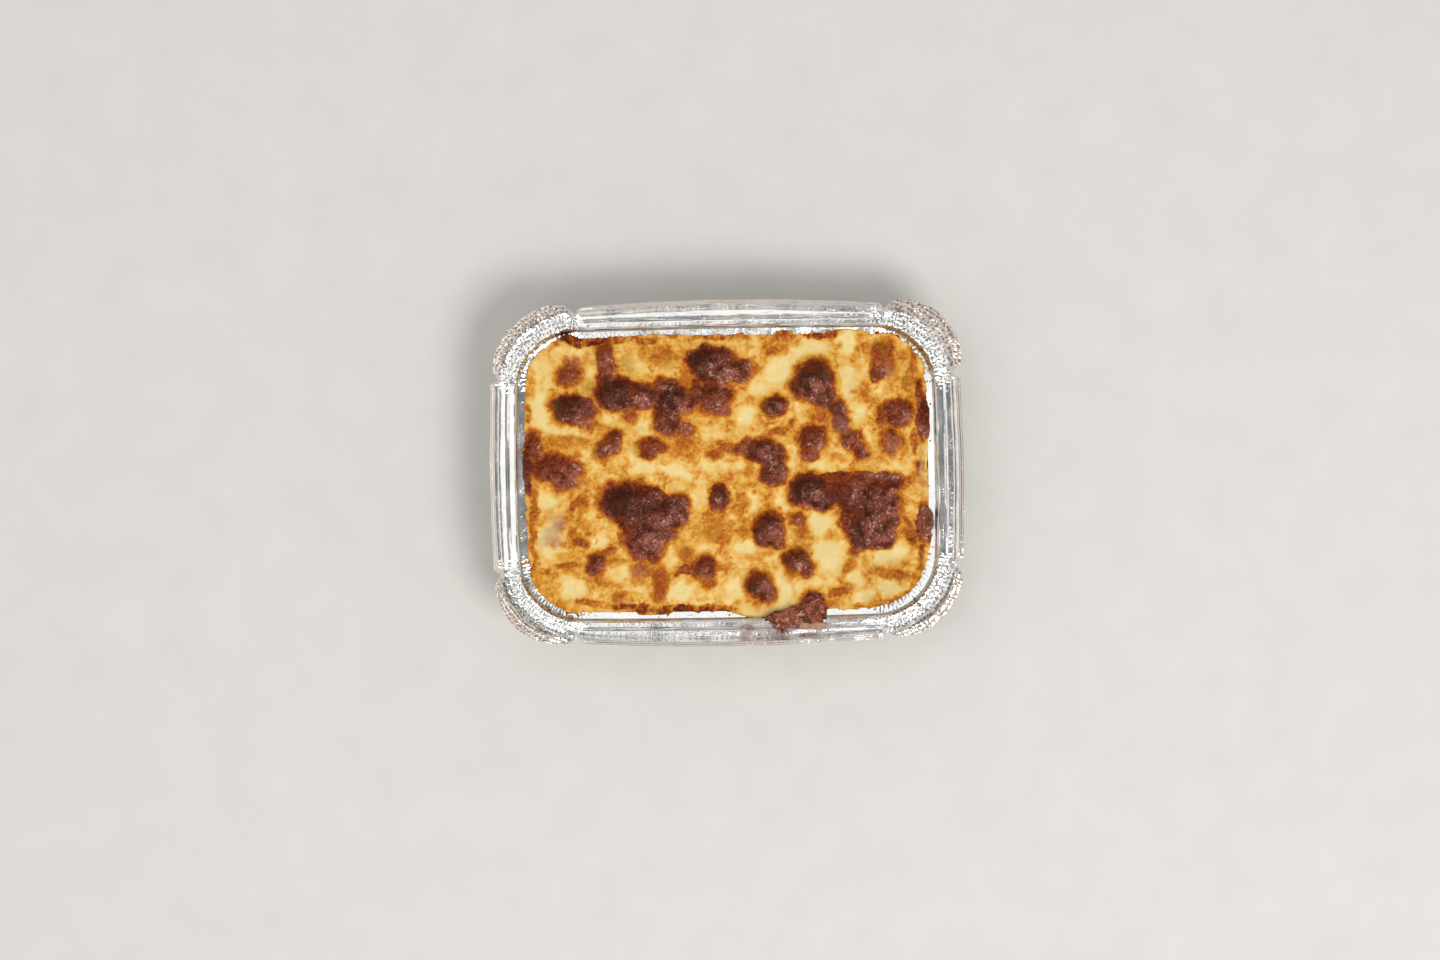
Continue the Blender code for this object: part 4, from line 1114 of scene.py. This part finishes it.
# Annealed aluminium foil, deep drawn and crimped: soft, so every fold stays, and it mirrors in small facets
def foilMaterial():
    material, tree, shader = newMaterial("annealed aluminium foil")
    place = addNode(tree, "TexCoord").outputs["Object"]
    warmReflectionShare = addNode(tree, "Attribute", attribute_name="warmReflectionShare").outputs["Fac"]
    blotch = addNode(
        tree,
        "TexNoise",
        {"Scale": 1 / foilLook["blotch"], "Detail": 4.0, "Roughness": 0.6},
        {"Vector": place},
    ).outputs["Fac"]
    tone = addNode(tree, "ValToRGB", {}, {"Fac": blotch}, ramp=foilLook["tones"]).outputs["Color"]
    stain = addNode(tree, "Attribute", attribute_name="stain").outputs["Fac"]
    film = addNode(
        tree, "TexNoise", {"Scale": 1 / foilLook["film"], "Detail": 4.0, "Roughness": 0.6}, {"Vector": place}
    ).outputs["Fac"]
    patchy = addNode(
        tree, "MapRange", {"From Min": 0.3, "From Max": 0.56, "To Min": 0.3}, {"Value": film}
    ).outputs["Result"]
    stainShare = addNode(tree, "Math", {}, {0: stain, 1: patchy}, operation="MULTIPLY").outputs[0]
    # the ears are pressed into a weave of sharp radial pleats and arcs, about 2 mm apart;
    # the pits where their valleys cross are darkened with painted shade
    ear = addNode(tree, "Attribute", attribute_name="ear").outputs["Fac"]
    pleats = addNode(tree, "Attribute", attribute_name="pleats").outputs["Fac"]
    arcs = addNode(tree, "Attribute", attribute_name="arcs").outputs["Fac"]
    folds = addNode(tree, "Math", {1: 0.5}, {0: pleats}, operation="PINGPONG").outputs[0]
    steps = addNode(tree, "Math", {1: 0.5}, {0: arcs}, operation="PINGPONG").outputs[0]
    weave = addNode(tree, "Math", {1: 0.8}, {0: steps, 2: folds}, operation="MULTIPLY_ADD").outputs[0]
    pressed = addNode(tree, "Math", {}, {0: weave, 1: ear}, operation="MULTIPLY").outputs[0]
    pits = addNode(
        tree,
        "MapRange",
        {"From Min": 0.14, "From Max": 0.38, "To Min": 0.72, "To Max": 0.0},
        {"Value": weave},
    ).outputs["Result"]
    paintedPitShade = addNode(tree, "Math", {}, {0: pits, 1: ear}, operation="MULTIPLY").outputs[0]
    # the lip's painted warm reflection, burnt stains, and painted shade in the pits
    for share, shade in ((warmReflectionShare, "rim"), (stainShare, "stain"), (paintedPitShade, "pitShade")):
        tone = addNode(
            tree, "Mix", {7: colour(foilLook[shade])}, {0: share, 6: tone}, data_type="RGBA"
        ).outputs[2]
    tree.links.new(tone, shader.inputs["Base Color"])
    bare = addNode(tree, "Math", {0: 1.0}, {1: stainShare}, operation="SUBTRACT").outputs[0]
    tree.links.new(bare, shader.inputs["Metallic"])
    rough = addNode(
        tree,
        "MapRange",
        {"From Min": 0.3, "From Max": 0.7, "To Min": 0.12, "To Max": 0.22},
        {"Value": blotch},
    ).outputs["Result"]
    tree.links.new(rough, shader.inputs["Roughness"])
    creases = addNode(
        tree, "TexVoronoi", {"Scale": 1 / foilLook["creases"]}, {"Vector": place}, feature="DISTANCE_TO_EDGE"
    ).outputs["Distance"]
    fine = addNode(
        tree, "TexNoise", {"Scale": 1 / foilLook["scuffs"], "Detail": 3.0}, {"Vector": place}
    ).outputs["Fac"]
    first = addNode(
        tree, "Bump", {"Strength": 0.16, "Distance": 0.0005}, {"Height": creases}
    ).outputs["Normal"]
    second = addNode(
        tree, "Bump", {"Strength": 0.12, "Distance": 0.0004}, {"Height": fine, "Normal": first}
    ).outputs["Normal"]
    third = addNode(
        tree, "Bump", {"Strength": 0.9, "Distance": 0.0008}, {"Height": pressed, "Normal": second}
    ).outputs["Normal"]
    tree.links.new(third, shader.inputs["Normal"])
    return material


def floorMaterial():
    material, tree, shader = newMaterial("pale matt board")
    place = addNode(tree, "TexCoord").outputs["Object"]
    mottle = addNode(tree, "TexNoise", {"Scale": 40.0, "Detail": 3.0}, {"Vector": place}).outputs["Fac"]
    tone = addNode(tree, "ValToRGB", {}, {"Fac": mottle}, ramp=studio["board"]).outputs["Color"]
    tree.links.new(tone, shader.inputs["Base Color"])
    shader.inputs["Roughness"].default_value = 0.85
    return material


# Studio

studio = {
    "cameraPlace": (-0.00327, -0.00324, 1.6226),
    "cameraTurn": -1.0,
    "lens": 85.0,
    "sensor": 36.0,
    "floorSize": 6.0,
    # place, aim, width and depth in metres, watts: a wide panel over the left half,
    # the main light at the lower right, a small panel over the far side
    "lights": (
        ((-1.02, 0.05, 2.2), (-1.02, 0.05, 0.0), (1.9, 2.4), 15.8),
        ((0.78, -0.86, 1.85), (0.0, 0.0, 0.0), (0.9, 0.9), 25.5),
        ((0.1, 0.9, 2.2), (0.1, 0.9, 0.0), (0.9, 0.8), 2.6),
    ),
    # the room's brightness from the horizon up to straight overhead
    "room": (
        (0.0, "EAE7E3"), (0.4, "D6D4D2"), (0.64, "AEADAD"),
        (0.78, "7E7F82"), (0.93, "76777A"), (1.0, "949496"),
    ),
    "board": ((0.3, "DAD7D2"), (0.7, "DEDBD6")),
}


def makeStudio():
    bm = bmesh.new()
    bmesh.ops.create_grid(bm, x_segments=1, y_segments=1, size=studio["floorSize"] / 2)
    mesh = bpy.data.meshes.new("floor")
    bm.to_mesh(mesh)
    bm.free()
    mesh.materials.append(floorMaterial())
    floor = bpy.data.objects.new("floor", mesh)
    bpy.context.scene.collection.objects.link(floor)
    camera = bpy.data.objects.new("camera", bpy.data.cameras.new("camera"))
    camera.data.lens = studio["lens"]
    camera.data.sensor_width = studio["sensor"]
    camera.location = studio["cameraPlace"]
    camera.rotation_euler = (0.0, 0.0, math.radians(studio["cameraTurn"]))
    bpy.context.scene.collection.objects.link(camera)
    bpy.context.scene.camera = camera
    for number, (place, aim, size, watts) in enumerate(studio["lights"]):
        light = bpy.data.objects.new(f"softLight{number}", bpy.data.lights.new(f"softLight{number}", "AREA"))
        light.data.shape = "RECTANGLE"
        light.data.size, light.data.size_y = size
        light.data.energy = watts
        light.location = place
        light.rotation_euler = (Vector(aim) - Vector(place)).to_track_quat("-Z", "Y").to_euler()
        bpy.context.scene.collection.objects.link(light)
    world = bpy.data.worlds.new("studio")
    world.use_nodes = True
    tree = world.node_tree
    sky = addNode(tree, "TexCoord").outputs["Generated"]
    upward = addNode(tree, "SeparateXYZ", {}, {"Vector": sky}).outputs["Z"]
    room = addNode(tree, "ValToRGB", {}, {"Fac": upward}, ramp=studio["room"]).outputs["Color"]
    tree.links.new(room, tree.nodes["Background"].inputs["Color"])
    bpy.context.scene.world = world
    bpy.context.scene.view_settings.view_transform = "Standard"


makeStudio()
print("studio ready")
foil = foilMaterial()
baked = crustMaterial()
print("materials ready")
print("tray:", len(makeTray(foil).data.polygons), "faces")
print("crust:", len(makeCrust(baked).data.polygons), "faces")
print("overflow:", len(makeOverflow(baked).data.polygons), "faces")
print("crumbs:", len(makeCrumbs(baked).data.polygons), "faces")
